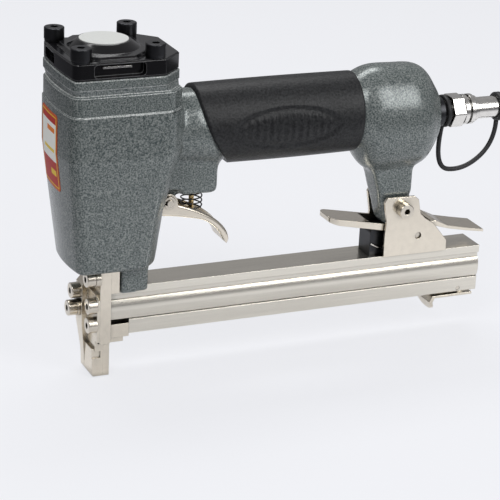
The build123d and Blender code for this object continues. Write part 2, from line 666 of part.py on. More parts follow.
# Trigger: a bent steel channel on a pin, with its valve, stem and spring
def trigger():
    top = [(PIVOT_X + 4.0, 75.4), (45.4, 71.1), (52.7, 66.7), (57.7, 61.4), (59.2, 57.6), (58.0, 55.2)]
    low = [(56.4, 56.9), (52.9, 62.5), (47.3, 66.6), (39.4, 68.7), (PIVOT_X - 3.0, 70.6)]
    with BuildLine(Plane.XZ) as line:
        Spline(*top[:5], tangents=((1, -0.3), (0.2, -1)))
        Line(top[4], top[5])
        Line(top[5], low[0])
        Spline(*low, tangents=((-0.35, 1), (-1, 0.1)))
        Line(low[-1], (PIVOT_X - TRIGGER_EAR_R, PIVOT_Z - 3.0))
        Line((PIVOT_X - TRIGGER_EAR_R, PIVOT_Z - 3.0), (PIVOT_X - TRIGGER_EAR_R, PIVOT_Z))
        ThreePointArc((PIVOT_X - TRIGGER_EAR_R, PIVOT_Z), (PIVOT_X, PIVOT_Z + TRIGGER_EAR_R),
                      (PIVOT_X + TRIGGER_EAR_R, PIVOT_Z))
        Line((PIVOT_X + TRIGGER_EAR_R, PIVOT_Z), top[0])
    lever = extrude(make_face(line.line), amount=TRIGGER_HALF, both=True)
    edges = lever.edges().filter_by(lambda e: abs(abs(e.center().Y) - TRIGGER_HALF) < 0.01
                                    and e.center().Z < 69.5 and e.center().X < 56.5 and e.length > 8)
    lever = fillet(edges, 1.2)
    hollow_top = [(20, 90), (70, 90), (60, 62)]
    with BuildLine(Plane.XZ) as line:
        Line(hollow_top[0], hollow_top[1])
        Line(hollow_top[1], (70, 58))
        Line((70, 58), (57.6, 58.6))
        Spline((57.6, 58.6), (53.9, 63.7), (48.1, 68.0), (39.6, 70.2), (PIVOT_X - 1.0, 71.6),
               tangents=((-0.4, 1), (-1, 0.1)))
        Line((PIVOT_X - 1.0, 71.6), (20, 71.6))
        Line((20, 71.6), hollow_top[0])
    hollow = extrude(make_face(line.line), amount=TRIGGER_HALF - TRIGGER_PLATE, both=True)
    lever -= hollow
    lever -= block(PIVOT_X - 6, PIVOT_X + TRIGGER_EAR_R + 0.6, -LUG_HALF - 0.3, LUG_HALF + 0.3, 60, 90)
    lever -= bar_y(PIVOT_X, -TRIGGER_HALF - 2, TRIGGER_HALF + 2, PIVOT_Z, TRIGGER_PIN_R + RUN_GAP)
    return lever


save("trigger", trigger())
trigger_pin = bar_y(PIVOT_X, -TRIGGER_HALF - 1.6, TRIGGER_HALF + 0.3, PIVOT_Z, TRIGGER_PIN_R)
trigger_pin += bar_y(PIVOT_X, TRIGGER_HALF + 0.3, TRIGGER_HALF + 1.3, PIVOT_Z, TRIGGER_PIN_R + 0.9)
clip_y = -TRIGGER_HALF - 0.3
clip_groove = TRIGGER_PIN_R - 0.35
trigger_pin -= (bar_y(PIVOT_X, clip_y - 0.7, clip_y, PIVOT_Z, 4) - bar_y(PIVOT_X, -20, 20, PIVOT_Z, clip_groove))
save("trigger_pin", trigger_pin)
clip = bar_y(PIVOT_X, clip_y - 0.65, clip_y - 0.05, PIVOT_Z, TRIGGER_PIN_R + 1.3)
clip -= bar_y(PIVOT_X, -20, 20, PIVOT_Z, clip_groove)
clip -= block(PIVOT_X - 5, PIVOT_X, -20, 20, PIVOT_Z - 0.9, PIVOT_Z + 0.9)
save("trigger_clip", clip)

valve = post(STEM_X, 0, BOSS_LOW + 0.2, VALVE_TOP, VALVE_R)
valve -= post(STEM_X, 0, BOSS_LOW - 1, VALVE_TOP, STEM_R + RUN_GAP)
valve -= post(STEM_X, 0, COLLAR_Z - 2, VALVE_TOP - 1.5, 3.6)
for z in (BOSS_LOW + 5, VALVE_TOP - 4):
    valve -= Pos(STEM_X, 0, z) * Torus(VALVE_R, 0.7)
save("valve_housing", valve)
valve_rings = [Pos(STEM_X, 0, z) * Torus(VALVE_R - 0.1, 0.6)
               & post(STEM_X, 0, z - 1, z + 1, VALVE_R + RUN_GAP / 2)
               for z in (BOSS_LOW + 5, VALVE_TOP - 4)]
save("valve_orings", Compound(children=valve_rings))
stem = post(STEM_X, 0, STEM_LOW, COLLAR_Z + 2, STEM_R)
stem += post(STEM_X, 0, COLLAR_Z, COLLAR_Z + 2, 3.55)
save("valve_stem", chamfer(stem.edges().group_by(Axis.Z)[0], 0.3))
inner_spring_high = VALVE_TOP - 1.5 - COLLAR_Z - 2
inner_spring = coil(2.6, 0.5, 5, inner_spring_high - 0.5 - 0.1)
save("valve_spring", Pos(STEM_X, 0, COLLAR_Z + 2 + 0.3) * inner_spring)
spring_low = STEM_LOW + 0.45
spring_rise = BOSS_LOW - 0.05 - TRIGGER_SPRING_WIRE - spring_low
trigger_coil = coil(TRIGGER_SPRING_R, TRIGGER_SPRING_WIRE, TRIGGER_SPRING_TURNS, spring_rise, 180)
save("trigger_spring", Pos(STEM_X, 0, spring_low + TRIGGER_SPRING_WIRE / 2) * trigger_coil)
print(f"trigger spring: least gap between turns {spring_rise / TRIGGER_SPRING_TURNS - TRIGGER_SPRING_WIRE:.2f} mm")
print(f"head valve spring: least gap between turns "
      f"{(valve_spring_high - valve_spring_wire - 0.1) / 3 - valve_spring_wire:.2f} mm")


# Nose: block with the driver's channel, front plate, screws
def nose_block():
    body = block(BAR_FRONT, BAR_REAR, -BAR_HALF, BAR_HALF, BAR_LOW, HEAD_LOW)
    body = chamfer(body.edges().filter_by(Axis.Y).group_by(Axis.Z)[0], 0.6)
    body += block(CHANNEL_FRONT, TIP_REAR, -TIP_HALF, TIP_HALF, 0, BAR_LOW + 2)
    body -= block(BAR_FRONT - 1, CHANNEL_REAR, -CHANNEL_HALF, CHANNEL_HALF, -1, HEAD_LOW + 1)
    # Window that lets the staples into the channel
    body -= block(CHANNEL_FRONT, BAR_REAR + 1, -CHANNEL_HALF, CHANNEL_HALF, SLIDE_TOP - 1, RAIL_ROOF - 1)
    saddle = block(BAR_REAR, FOOT_FRONT - 0.7, -BAR_HALF + 0.3, BAR_HALF - 0.3, FOOT_LOW, HEAD_LOW)
    saddle -= block(BAR_REAR - 1, FOOT_FRONT, -RAIL_HALF, RAIL_HALF, FOOT_LOW - 1, RAIL_TOP)
    return body + saddle


def nose_plate():
    face = SHEET_FACE
    sheet = block(face, BAR_FRONT, -BAR_HALF, BAR_HALF, BAR_LOW + 1, SHEET_TOP)
    sheet = chamfer(sheet.edges().filter_by(Axis.X).group_by(Axis.Z)[-1], 2.4)
    tongue = block(BAR_FRONT, CHANNEL_FRONT, -CHANNEL_HALF + 0.05, CHANNEL_HALF - 0.05, TIP_HEIGHT - 2,
                   HEAD_LOW - 1)
    rib_front = RIB_FACE
    profile = [
        (CHANNEL_FRONT, 0), (TIP_FRONT + 0.6, 0), (TIP_FRONT, 1.0), (TIP_FRONT - 0.2, TIP_HEIGHT / 2),
        (rib_front, RIB_TOP / 2), (rib_front, RIB_TOP - 3), (face, RIB_TOP), (BAR_FRONT, RIB_TOP),
        (BAR_FRONT, BAR_LOW - 0.5), (CHANNEL_FRONT, BAR_LOW - 0.5),
    ]
    rib = side_profile(profile, (RIB_FAR - RIB_NEAR) / 2)
    rib = Pos(0, (RIB_FAR + RIB_NEAR) / 2, 0) * rib
    # The far edge draws in to the tip's width below the screws
    cutter = [(RIB_FAR + 0.2, 22), (RIB_FAR + 5, 22), (RIB_FAR + 5, -1), (TIP_HALF, -1), (TIP_HALF, 9)]
    rib -= cross_profile(cutter, -12, 6)
    tip = block(TIP_FRONT, CHANNEL_FRONT, -TIP_HALF, TIP_HALF, 0, TIP_HEIGHT)
    tip = chamfer(tip.edges().filter_by(Axis.Y).group_by(Axis.Z)[0].group_by(Axis.X)[0], 0.6)
    step = block(TIP_FRONT, TIP_FRONT + 3.8, -TIP_HALF - 1, -TIP_HALF + 0.7, TIP_HEIGHT - 4.2, TIP_HEIGHT + 1)
    neck = block(face, CHANNEL_FRONT, -TIP_HALF, TIP_HALF, TIP_HEIGHT - 1, BAR_LOW - 0.5)
    neck += block(face, BAR_FRONT, -TIP_HALF, TIP_HALF, TIP_HEIGHT - 1, BAR_LOW + 2)
    return sheet + tongue + rib + (tip - step) + neck


NOSE_SCREWS = [
    # seat X, Y, Z, washer stack
    (SHEET_FACE, -NOSE_SCREW_Y, 33.4, 0.0),
    (SHEET_FACE, -NOSE_SCREW_Y, 24.6, 0.0),
    (RIB_FACE, NOSE_SCREW_Y, 35.5, 0.0),
    (RIB_FACE, NOSE_SCREW_Y, 27.5, 1.3),
    (BAR_FRONT, -NOSE_SCREW_Y, 46.0, 2.2),
]
block_shape = nose_block()
plate_shape = nose_plate()
nose_screws = []
nose_washers = []
for seat, y, z, stack in NOSE_SCREWS:
    end = DRIVE_X + 1.0
    lay = Pos(seat - stack, y, z) * Rot(0, -90, 0)
    nose_screws.append(lay * socket_screw(M4_HEAD_R, M4_HEAD, M4_R, end - seat + stack))
    block_shape -= bar_x(seat - 1, end, y, z, M4_R)
    plate_shape -= bar_x(seat - 1, end, y, z, M4_R)
    if stack:
        nose_washers.append(Pos(seat, y, z) * Rot(0, -90, 0) * washer(M4_R, M4_HEAD_R + 0.3, stack))
save("nose_block", block_shape)
save("nose_plate", plate_shape)
save("nose_screws", Compound(children=nose_screws))
save("nose_washers", Compound(children=nose_washers))


# Magazine: fixed rail above, sliding carrier below
def magazine_rail():
    rail = rail_section(BAR_REAR, RAIL_REAR)
    rail -= block(BAR_REAR - 1, RAIL_REAR + 1, -CHANNEL_W, CHANNEL_W, RAIL_LOW - 1, RAIL_ROOF)
    rail -= block(LEVER_PIN_X - 2.6, LEVER_PIN_X + 4.2, -1.4, 3.3, RAIL_ROOF - 1, RAIL_TOP + 1)
    return rail


def slide_carrier():
    base = block(SLIDE_FRONT, RAIL_REAR, -SLIDE_HALF, SLIDE_HALF, SLIDE_LOW, SLIDE_TOP)
    long_edges = base.edges().filter_by(Axis.X)
    base = chamfer(long_edges, 0.4)
    core = block(SLIDE_FRONT, RAIL_REAR - 2, -CORE_HALF, CORE_HALF, SLIDE_TOP - 1, CORE_TOP)
    body = base + core
    body -= block(SLIDE_FRONT - 1, RAIL_REAR - 3, -SPRING_R - 0.6, SPRING_R + 0.6, SLIDE_TOP, CORE_TOP - 1.2)
    body -= block(SLIDE_FRONT - 1, RAIL_REAR - 3, -SLOT_HALF, SLOT_HALF, SLIDE_TOP, CORE_TOP + 1)
    body -= block(SLIDE_FRONT - 1, RAIL_REAR + 1, -SLIDE_HALF + 2.6, SLIDE_HALF - 2.6, SLIDE_LOW - 1, SLIDE_TOP - 2)
    body -= bar_x(RAIL_REAR - 5, RAIL_REAR + 1, 0, ROD_Z, ROD_R)
    body -= bar_y(LATCH_PIN_X, -SLIDE_HALF - 1, SLIDE_HALF + 1, LATCH_PIN_Z, LATCH_PIN_R)
    return body


def pusher():
    x0 = PUSHER_FRONT
    x1 = x0 + PUSHER_LENGTH
    saddle = block(x0, x1, -CHANNEL_W + 0.5, CHANNEL_W - 0.5, SLIDE_TOP + 0.4, CORE_TOP + 1.4)
    saddle -= block(x0 - 1, x1 + 1, -CORE_HALF - 0.15, CORE_HALF + 0.15, SLIDE_TOP - 1, CORE_TOP + 0.2)
    tongue = block(x0 + 2, x1 - 2, -SLOT_HALF + 0.2, SLOT_HALF - 0.2, ROD_Z - 2.4, CORE_TOP + 1)
    ring = bar_x(x0 + 2, x1 - 2, 0, ROD_Z, SPRING_R)
    return saddle + tongue + ring - bar_x(x0, x1, 0, ROD_Z, ROD_R + RUN_GAP)


def release_latch():
    plate = block(TAB_X, RAIL_REAR - 1.2, -LATCH_HALF, LATCH_HALF, LATCH_TOP - LATCH_THICK, LATCH_TOP)
    tab_points = [(TAB_X, LATCH_TOP), (TAB_X - 1.6, LATCH_TOP - 3), (TAB_X + 0.6, TAB_LOW),
                  (TAB_X + 1.8, TAB_LOW + 0.4), (TAB_X + 0.2, LATCH_TOP - 3.2), (TAB_X + 1.6, LATCH_TOP)]
    tab = side_profile(tab_points, LATCH_HALF)
    thumb = block(TAB_X - 3, TAB_X + 3, -LATCH_HALF, LATCH_HALF, TAB_LOW, LATCH_TOP)
    tab &= fillet(thumb.edges().filter_by(Axis.X).group_by(Axis.Z)[0], LATCH_HALF * 0.75)
    ears = None
    for side in (-1, 1):
        y0 = side * 2.9
        y1 = side * 4.1
        ear = block(LATCH_PIN_X - 2, LATCH_PIN_X + 2, min(y0, y1), max(y0, y1), LATCH_TOP - 0.5, LATCH_PIN_Z)
        ear += bar_y(LATCH_PIN_X, min(y0, y1), max(y0, y1), LATCH_PIN_Z, 2.0)
        ears = ear if ears is None else ears + ear
    rivet = post(TAB_X + 7, 0, LATCH_TOP - LATCH_THICK - 1.2, LATCH_TOP, 2.0)
    return plate + tab + ears + rivet - bar_y(LATCH_PIN_X, -10, 10, LATCH_PIN_Z, LATCH_PIN_R + RUN_GAP)


def slide_nose():
    """Steel block at the carrier's front that closes the magazine under the nose."""
    high = SLIDE_TOP - 1.8
    body = block(BAR_REAR + 0.3, SLIDE_FRONT - 0.1, -SLIDE_HALF - 0.2, SLIDE_HALF + 0.2, 17.5, high)
    body += block(TIP_REAR + 0.3, SLIDE_FRONT - 2.5, -SLIDE_HALF + 0.4, SLIDE_HALF - 0.4, 15.2, 17.6)
    body += block(SLIDE_FRONT - 0.2, SLIDE_FRONT + 9, -SLIDE_HALF + 2.7, SLIDE_HALF - 2.7, 19.0, SLIDE_TOP - 2.1)
    return body


save("magazine_rail", magazine_rail())
save("slide_carrier", slide_carrier())
save("slide_nose", slide_nose())
save("pusher", pusher())
save("release_latch", release_latch())
save("latch_pin", bar_y(LATCH_PIN_X, -SLIDE_HALF + 0.1, SLIDE_HALF - 0.1, LATCH_PIN_Z, LATCH_PIN_R))
save("pusher_rod", bar_x(SLIDE_FRONT + 0.5, RAIL_REAR - 0.2, 0, ROD_Z, ROD_R))
spring_x = PUSHER_FRONT + PUSHER_LENGTH - 2 + 0.1
pusher_spring = bar_x(spring_x, RAIL_REAR - 3.1, 0, ROD_Z, SPRING_R)
save("pusher_spring", pusher_spring - bar_x(spring_x - 1, RAIL_REAR, 0, ROD_Z, ROD_R + 0.8))
leaf = block(TAB_X + 3, LATCH_PIN_X - 3, -2.0, 2.0, SLIDE_TOP - 2.4, SLIDE_TOP - 2.05)
save("latch_leaf", leaf)


# Rear bracket: two steel plates that tie the leg to the rail, and the lock lever
def bracket_plate(side):
    points = [
        (133.6, 67.0), (134.8, 69.2), (148.8, 68.8), (150.8, 67.2), (152.2, 60.2), (155.2, 57.4), (159.5, 54.6),
        (166.6, 46.0), (166.8, RAIL_TOP + 0.1), (134.8, RAIL_TOP + 0.1), (134.7, 51.8), (135.2, 57.5),
    ]
    plate = side_profile(points, PLATE_THICK / 2)
    plate = Pos(0, side * (PLATE_Y + PLATE_THICK / 2), 0) * plate
    plate -= bar_y(BRACKET_SCREW_X, -20, 20, BRACKET_SCREW_Z, M4_R + 0.05)
    return plate - bar_y(LEVER_PIN_X, -20, 20, LEVER_PIN_Z, LEVER_PIN_R)


save("bracket_near", bracket_plate(-1))
save("bracket_far", bracket_plate(1))

# Spacers hold the plates off the leg's shank
spacers = []
for side in (-1, 1):
    y0 = side * LEG_SHANK_HALF
    y1 = side * PLATE_Y
    ring = bar_y(BRACKET_SCREW_X, min(y0, y1), max(y0, y1), BRACKET_SCREW_Z, 4.4)
    spacers.append(ring - bar_y(BRACKET_SCREW_X, -20, 20, BRACKET_SCREW_Z, M4_R + 0.05))
save("bracket_spacers", Compound(children=spacers))

bracket_out = PLATE_Y + PLATE_THICK
bracket_screw = socket_screw(M4_HEAD_R, M4_HEAD, M4_R, 2 * bracket_out + 4.2)
save("bracket_screw", Pos(BRACKET_SCREW_X, -bracket_out, BRACKET_SCREW_Z) * Rot(90, 0, 0) * bracket_screw)
nut = extrude(RegularPolygon(3.5, 6, major_radius=False), amount=3.2) - post(0, 0, -1, 5, M4_R)
save("bracket_nut", Pos(BRACKET_SCREW_X, bracket_out, BRACKET_SCREW_Z) * Rot(-90, 0, 0) * nut)


def rail_anchor():
    """Black steel block on the rail between the plates: it carries the lever's pin."""
    body = block(ANCHOR_FRONT, ANCHOR_REAR, -ANCHOR_HALF, ANCHOR_HALF, RAIL_TOP, ANCHOR_TOP)
    body = fillet(body.edges().filter_by(Axis.Y).group_by(Axis.Z)[-1], 2.0)
    for side in (-1, 1):
        # Feet reach out to the plates along the rail
        y0 = side * (ANCHOR_HALF - 1)
        y1 = side * PLATE_Y
        body += block(140, ANCHOR_REAR, min(y0, y1), max(y0, y1), RAIL_TOP, RAIL_TOP + 2.0)
    # Slot for the lever's toe, a pocket for the spring's coils and a relief for its leg
    body -= block(LEVER_PIN_X - 5, ANCHOR_REAR + 1, -1.2, 3.3, RAIL_TOP - 1, ANCHOR_TOP + 1)
    body -= block(LEVER_PIN_X - 5.2, LEVER_PIN_X + 5.2, -ANCHOR_HALF - 1, -1, RAIL_TOP + 3.2, ANCHOR_TOP + 1)
    body -= block(ANCHOR_FRONT - 1, LEVER_PIN_X, -ANCHOR_HALF - 1, -ANCHOR_HALF + 0.9, RAIL_TOP - 1, ANCHOR_TOP + 1)
    return body - bar_y(LEVER_PIN_X, -20, 20, LEVER_PIN_Z, LEVER_HUB_R + RUN_GAP)


def lever_plan(half, tip, corner):
    """A tall prism over the lever's plan, with round corners at its front tip."""
    prism = block(tip, RAIL_REAR + 5, -half, half, RAIL_LOW, HANDLE_Z)
    return fillet(prism.edges().filter_by(Axis.Z).group_by(Axis.X)[0], corner)


def lock_lever():
    arm_points = [
        (107.8, 61.4), (111.9, 60.6), (134.7, 56.3), (147.0, 54.0), (156.0, 54.6), (161.6, 55.2), (168.4, 52.0),
        (178.0, 50.0), (187.0, 48.3), (187.0, 47.1), (178.0, 48.6), (168.2, 50.6), (161.0, 52.8), (155.4, 48.6),
        (152.0, 46.0), (148.4, 48.2), (135.0, 53.1), (112.0, 57.8), (108.4, 59.0),
    ]
    outer = LEVER_Y + LEVER_PLATE
    lever = side_profile(arm_points, outer) & lever_plan(outer, LEVER_TIP, 5.0)
    # Hollow between the cheeks, under the front finger plate and behind the leg
    front = [(100, 40), (100, 57.6), (112.4, 59.2), (128.0, 56.3), (128.0, 70), (159.6, 70),
             (159.6, 53.6), (167.6, 49.7), (188, 46.0), (188, 40)]
    lever -= side_profile(front, LEVER_Y) & lever_plan(LEVER_Y, LEVER_TIP + LEVER_PLATE, 4.0)
    toe = block(LEVER_PIN_X - 1.8, LEVER_PIN_X + 1.8, -0.8, 2.9, RAIL_ROOF + 1.2, LEVER_PIN_Z)
    toe += bar_y(LEVER_PIN_X, -0.8, 2.9, LEVER_PIN_Z, 3.0)
    hub = bar_y(LEVER_PIN_X, -outer, outer, LEVER_PIN_Z, LEVER_HUB_R)
    return lever + toe + hub - bar_y(LEVER_PIN_X, -20, 20, LEVER_PIN_Z, LEVER_PIN_R + RUN_GAP)


save("rail_anchor", rail_anchor())
save("lock_lever", lock_lever())
pin_end = bracket_out - 0.8
save("lever_pin", bar_y(LEVER_PIN_X, -pin_end, pin_end, LEVER_PIN_Z, LEVER_PIN_R))

# Torsion spring of the lever: coils round the pin and one leg that runs forward
lever_coil = coil(LEVER_SPRING_R, LEVER_SPRING_WIRE, LEVER_SPRING_TURNS,
                  LEVER_SPRING_TURNS * LEVER_SPRING_PITCH, 90)
lever_coil = mirror(Rot(90, 0, 0) * lever_coil, about=Plane.XZ)
lever_coil = mirror(lever_coil, about=Plane.XY)
leg_z = LEVER_PIN_Z - LEVER_SPRING_R
leg_route = FilletPolyline((129.9, 46.4), (136.2, 42.4), (144.5, leg_z), (LEVER_PIN_X, leg_z), radius=2.5)
leg_route = Pos(0, -SPRING_NEAR, 0) * (Plane.XZ * leg_route)
leg_ring = Plane(origin=leg_route @ 0, z_dir=leg_route % 0) * Circle(LEVER_SPRING_WIRE / 2)
spring_leg = sweep(leg_ring, path=leg_route)
save("lever_spring", Pos(LEVER_PIN_X, -SPRING_NEAR, LEVER_PIN_Z) * lever_coil + spring_leg)
print(f"lever spring: least gap between turns {LEVER_SPRING_PITCH - LEVER_SPRING_WIRE:.2f} mm")


# Air inlet: threaded bush, quick-connect plug and rubber dust cap
bush = bar_x(REAR_X - 12, REAR_X, 0, INLET_Z, BUSH_R)
bush += bar_x(REAR_X, COLLAR_END, 0, INLET_Z, COLLAR_R)
bush = chamfer(bush.edges().group_by(Axis.X)[-1], 0.5)
bush -= bar_x(REAR_X - 13, COLLAR_END + 1, 0, INLET_Z, PLUG_SHANK_R)
save("inlet_bush", bush)


def air_plug():
    """Threaded shank, hexagon, two grooved rings, barrel and a hollow nipple."""
    plug = bar_x(REAR_X - 10, HEX_START, 0, INLET_Z, PLUG_SHANK_R)
    hexagon = Pos(HEX_START, 0, INLET_Z) * Rot(0, 90, 0) * extrude(RegularPolygon(HEX_R, 6, rotation=30),
                                                                   amount=HEX_END - HEX_START)
    plug += hexagon & bar_x(HEX_START, HEX_END, 0, INLET_Z, HEX_R * 0.97)
    ring_x = HEX_END + 0.5
    for k in range(2):
        plug += bar_x(ring_x, ring_x + RING_THICK, 0, INLET_Z, RING_R)
        ring_x += RING_THICK + 1.2
    plug += bar_x(HEX_END - 1, BARREL_START + 1, 0, INLET_Z, RING_R - 1.0)
    plug += bar_x(BARREL_START, PLUG_END - 12, 0, INLET_Z, BARREL_R)
    plug += bar_x(PLUG_END - 13, PLUG_END - 5, 0, INLET_Z, NIPPLE_R - 1.1)
    plug += bar_x(PLUG_END - 6, PLUG_END, 0, INLET_Z, NIPPLE_R)
    return plug - bar_x(REAR_X - 12, PLUG_END + 1, 0, INLET_Z, PLUG_BORE)


def dust_cap():
    """Soft cup over the plug's end, with a rounded closed end and a strap ring."""
    cup = bar_x(CAP_START, DUST_CAP_END, 0, INLET_Z, DUST_CAP_R)
    cup = fillet(cup.edges().group_by(Axis.X)[-1], 3.0)
    cup -= bar_x(CAP_START - 1, PLUG_END + 0.6, 0, INLET_Z, BARREL_R + RUN_GAP)
    return cup


save("air_plug", air_plug())
save("dust_cap", dust_cap())

# Strap: a ring round the plug's neck and a limp cord that hangs down to the cap
STRAP_ROUTE = [
    (STRAP_X, INLET_Z - STRAP_RING_R + 1), (161.6, 78.0), (178.5, 75.6), (STRAP_END, 87.5),
    (STRAP_END, INLET_Z - DUST_CAP_R - 0.05),
]
bends = []
for i in range(1, len(STRAP_ROUTE) - 1):
    before = Vector(*STRAP_ROUTE[i - 1], 0) - Vector(*STRAP_ROUTE[i], 0)
    after = Vector(*STRAP_ROUTE[i + 1], 0) - Vector(*STRAP_ROUTE[i], 0)
    half_turn = (180 - before.get_angle(after)) / 2
    bends.append(0.45 * min(before.length, after.length) / math.tan(math.radians(half_turn)))
print("strap bend radii:", ", ".join(f"{r:.1f}" for r in bends))
route = Plane.XZ * FilletPolyline(*STRAP_ROUTE, radius=bends)
start = Plane(origin=route @ 0, z_dir=route % 0)
strap = sweep(start * Circle(STRAP_R), path=route)
print(f"strap length {route.length:.1f} mm, tube volume over section times length "
      f"{strap.volume / (math.pi * STRAP_R ** 2 * route.length):.4f}")
strap_ring = bar_x(STRAP_X - 1, STRAP_X + 1, 0, INLET_Z, STRAP_RING_R)
strap_ring -= bar_x(STRAP_X - 2, STRAP_X + 2, 0, INLET_Z, PLUG_SHANK_R + RUN_GAP)
save("cap_strap", strap + strap_ring)
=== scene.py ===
# %% [markdown]
# This lesson dresses a small air stapler. The CAD model is already in place as a frame, in metres, with
# the nose tip at the origin, Z up and X running back to the air inlet. Here we add a camera, the soft
# and wound pieces, the finishes and the light.

# %% Load the frame
import bpy
import bmesh
import json
import math
from mathutils import Matrix, Vector

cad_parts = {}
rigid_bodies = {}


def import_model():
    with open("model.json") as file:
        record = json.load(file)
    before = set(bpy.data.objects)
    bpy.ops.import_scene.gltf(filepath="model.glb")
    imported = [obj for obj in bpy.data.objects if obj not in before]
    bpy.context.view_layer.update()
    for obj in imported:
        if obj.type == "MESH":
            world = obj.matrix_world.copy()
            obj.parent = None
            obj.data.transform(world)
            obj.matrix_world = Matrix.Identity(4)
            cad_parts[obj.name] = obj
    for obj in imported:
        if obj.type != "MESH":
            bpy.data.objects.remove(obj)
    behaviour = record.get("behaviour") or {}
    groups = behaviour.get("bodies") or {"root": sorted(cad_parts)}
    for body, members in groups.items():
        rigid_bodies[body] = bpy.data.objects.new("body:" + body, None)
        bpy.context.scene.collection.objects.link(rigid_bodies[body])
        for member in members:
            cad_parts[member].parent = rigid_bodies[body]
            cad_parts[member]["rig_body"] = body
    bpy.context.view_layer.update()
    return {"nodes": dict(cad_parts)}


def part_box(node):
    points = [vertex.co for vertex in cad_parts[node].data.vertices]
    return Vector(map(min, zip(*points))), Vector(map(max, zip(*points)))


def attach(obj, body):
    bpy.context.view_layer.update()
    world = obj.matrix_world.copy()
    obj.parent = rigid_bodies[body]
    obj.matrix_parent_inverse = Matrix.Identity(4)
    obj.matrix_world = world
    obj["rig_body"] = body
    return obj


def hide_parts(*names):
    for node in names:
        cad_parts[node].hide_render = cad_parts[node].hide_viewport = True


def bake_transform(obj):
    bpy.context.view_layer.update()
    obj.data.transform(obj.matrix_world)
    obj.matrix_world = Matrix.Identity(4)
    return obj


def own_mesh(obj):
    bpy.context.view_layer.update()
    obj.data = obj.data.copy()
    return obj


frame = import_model()
nodes = frame["nodes"]
MM = 0.001
print("nodes:", len(nodes))

# %% [markdown]
# The camera stands in front of the head's left corner, a little above the tool, and far away, so its
# lens is long. It is rolled by a few degrees, which makes the tool seem to climb to the right. The
# three angles were found by fitting straight edges of the tool, so they are all that is written here.

# %% Camera
LENS_MM = 144.0
CAMERA_PLACE = Vector((-0.2699, -0.7568, 0.3651))
TURN = math.radians(24.34)
DIP = math.radians(20.90)
ROLL = math.radians(2.66)

level_right = Vector((math.cos(TURN), -math.sin(TURN), 0))
level_ahead = Vector((math.sin(TURN), math.cos(TURN), 0))
up_axis = Vector((0, 0, 1))
ahead = math.cos(DIP) * level_ahead - math.sin(DIP) * up_axis
level_up = math.sin(DIP) * level_ahead + math.cos(DIP) * up_axis
right = math.cos(ROLL) * level_right + math.sin(ROLL) * level_up
up = math.cos(ROLL) * level_up - math.sin(ROLL) * level_right

camera = bpy.data.objects.new("camera", bpy.data.cameras.new("camera"))
camera.data.lens = LENS_MM
camera.data.sensor_width = 36.0
camera.data.clip_end = 20.0
camera.matrix_world = Matrix((right, up, -ahead)).transposed().to_4x4()
camera.location = CAMERA_PLACE
bpy.context.scene.collection.objects.link(camera)
bpy.context.scene.camera = camera
print("camera at", [round(v, 3) for v in camera.location])

# %% [markdown]
# Every new piece starts as a bmesh and ends as an object at the origin, riding on one body of the
# frame. These helpers do that last step, so each later cell is only about its own shape.

# %% Helpers for pieces
def finish_piece(bm, name, body, material=None, smooth=True, recalc=True):
    if recalc:
        bmesh.ops.remove_doubles(bm, verts=bm.verts, dist=1e-6)
        bmesh.ops.recalc_face_normals(bm, faces=bm.faces)
    mesh = bpy.data.meshes.new(name)
    bm.to_mesh(mesh)
    bm.free()
    for face in mesh.polygons:
        face.use_smooth = smooth
    piece = bpy.data.objects.new(name, mesh)
    bpy.context.scene.collection.objects.link(piece)
    if material:
        mesh.materials.append(material)
    if body:
        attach(piece, body)
    print(name, "faces", len(mesh.polygons))
    return piece


def open_edges(bm):
    return [e for e in bm.edges if e.is_boundary]


def ease(value):
    """A soft step from 0 to 1."""
    value = min(1.0, max(0.0, value))
    return value * value * (3 - 2 * value)


# %% [markdown]
# A finish is a small node tree. Nearly all of them share one pattern: a noise in Object coordinates
# varies the colour a little, varies the roughness, and gives a low bump. The Bevel node rounds the
# light on sharp CAD edges, the way a real edge is broken by tumbling and paint.

# %% Helpers for finishes
def new_material(name):
    material = bpy.data.materials.new(name)
    material.use_nodes = True
    tree = material.node_tree
    shader = tree.nodes["Principled BSDF"]
    return material, tree, shader


def add(tree, kind, **settings):
    node = tree.nodes.new(kind)
    for key, value in settings.items():
        if key in node.inputs:
            node.inputs[key].default_value = value
        else:
            setattr(node, key, value)
    return node


def place_of(tree, scale):
    """Object coordinates, stretched by scale along each axis."""
    source = add(tree, "ShaderNodeTexCoord")
    mapping = add(tree, "ShaderNodeMapping")
    mapping.inputs["Scale"].default_value = scale
    tree.links.new(source.outputs["Object"], mapping.inputs["Vector"])
    return mapping.outputs["Vector"]


def noise(tree, scale, detail=3.0, stretch=(1, 1, 1), roughness=0.55):
    node = add(tree, "ShaderNodeTexNoise", Scale=scale, Detail=detail, Roughness=roughness)
    tree.links.new(place_of(tree, stretch), node.inputs["Vector"])
    return node.outputs["Fac"]


def ramp(tree, source, stops):
    node = add(tree, "ShaderNodeValToRGB")
    elements = node.color_ramp.elements
    elements[0].position, elements[0].color = stops[0][0], (*stops[0][1], 1)
    elements[1].position, elements[1].color = stops[-1][0], (*stops[-1][1], 1)
    for position, colour in stops[1:-1]:
        element = elements.new(position)
        element.color = (*colour, 1)
    tree.links.new(source, node.inputs["Fac"])
    return node.outputs["Color"]


def span(tree, source, low=0.0, high=1.0, start=0.0, end=1.0):
    """Carries the values from start to end over to the values from low to high."""
    node = add(tree, "ShaderNodeMapRange")
    node.inputs["From Min"].default_value = start
    node.inputs["From Max"].default_value = end
    node.inputs["To Min"].default_value = low
    node.inputs["To Max"].default_value = high
    tree.links.new(source, node.inputs["Value"])
    return node.outputs["Result"]


def feed(tree, source, socket):
    """Links a socket to another node's output, or gives it a plain colour."""
    if hasattr(source, "links"):
        tree.links.new(source, socket)
    else:
        socket.default_value = (*source, 1)


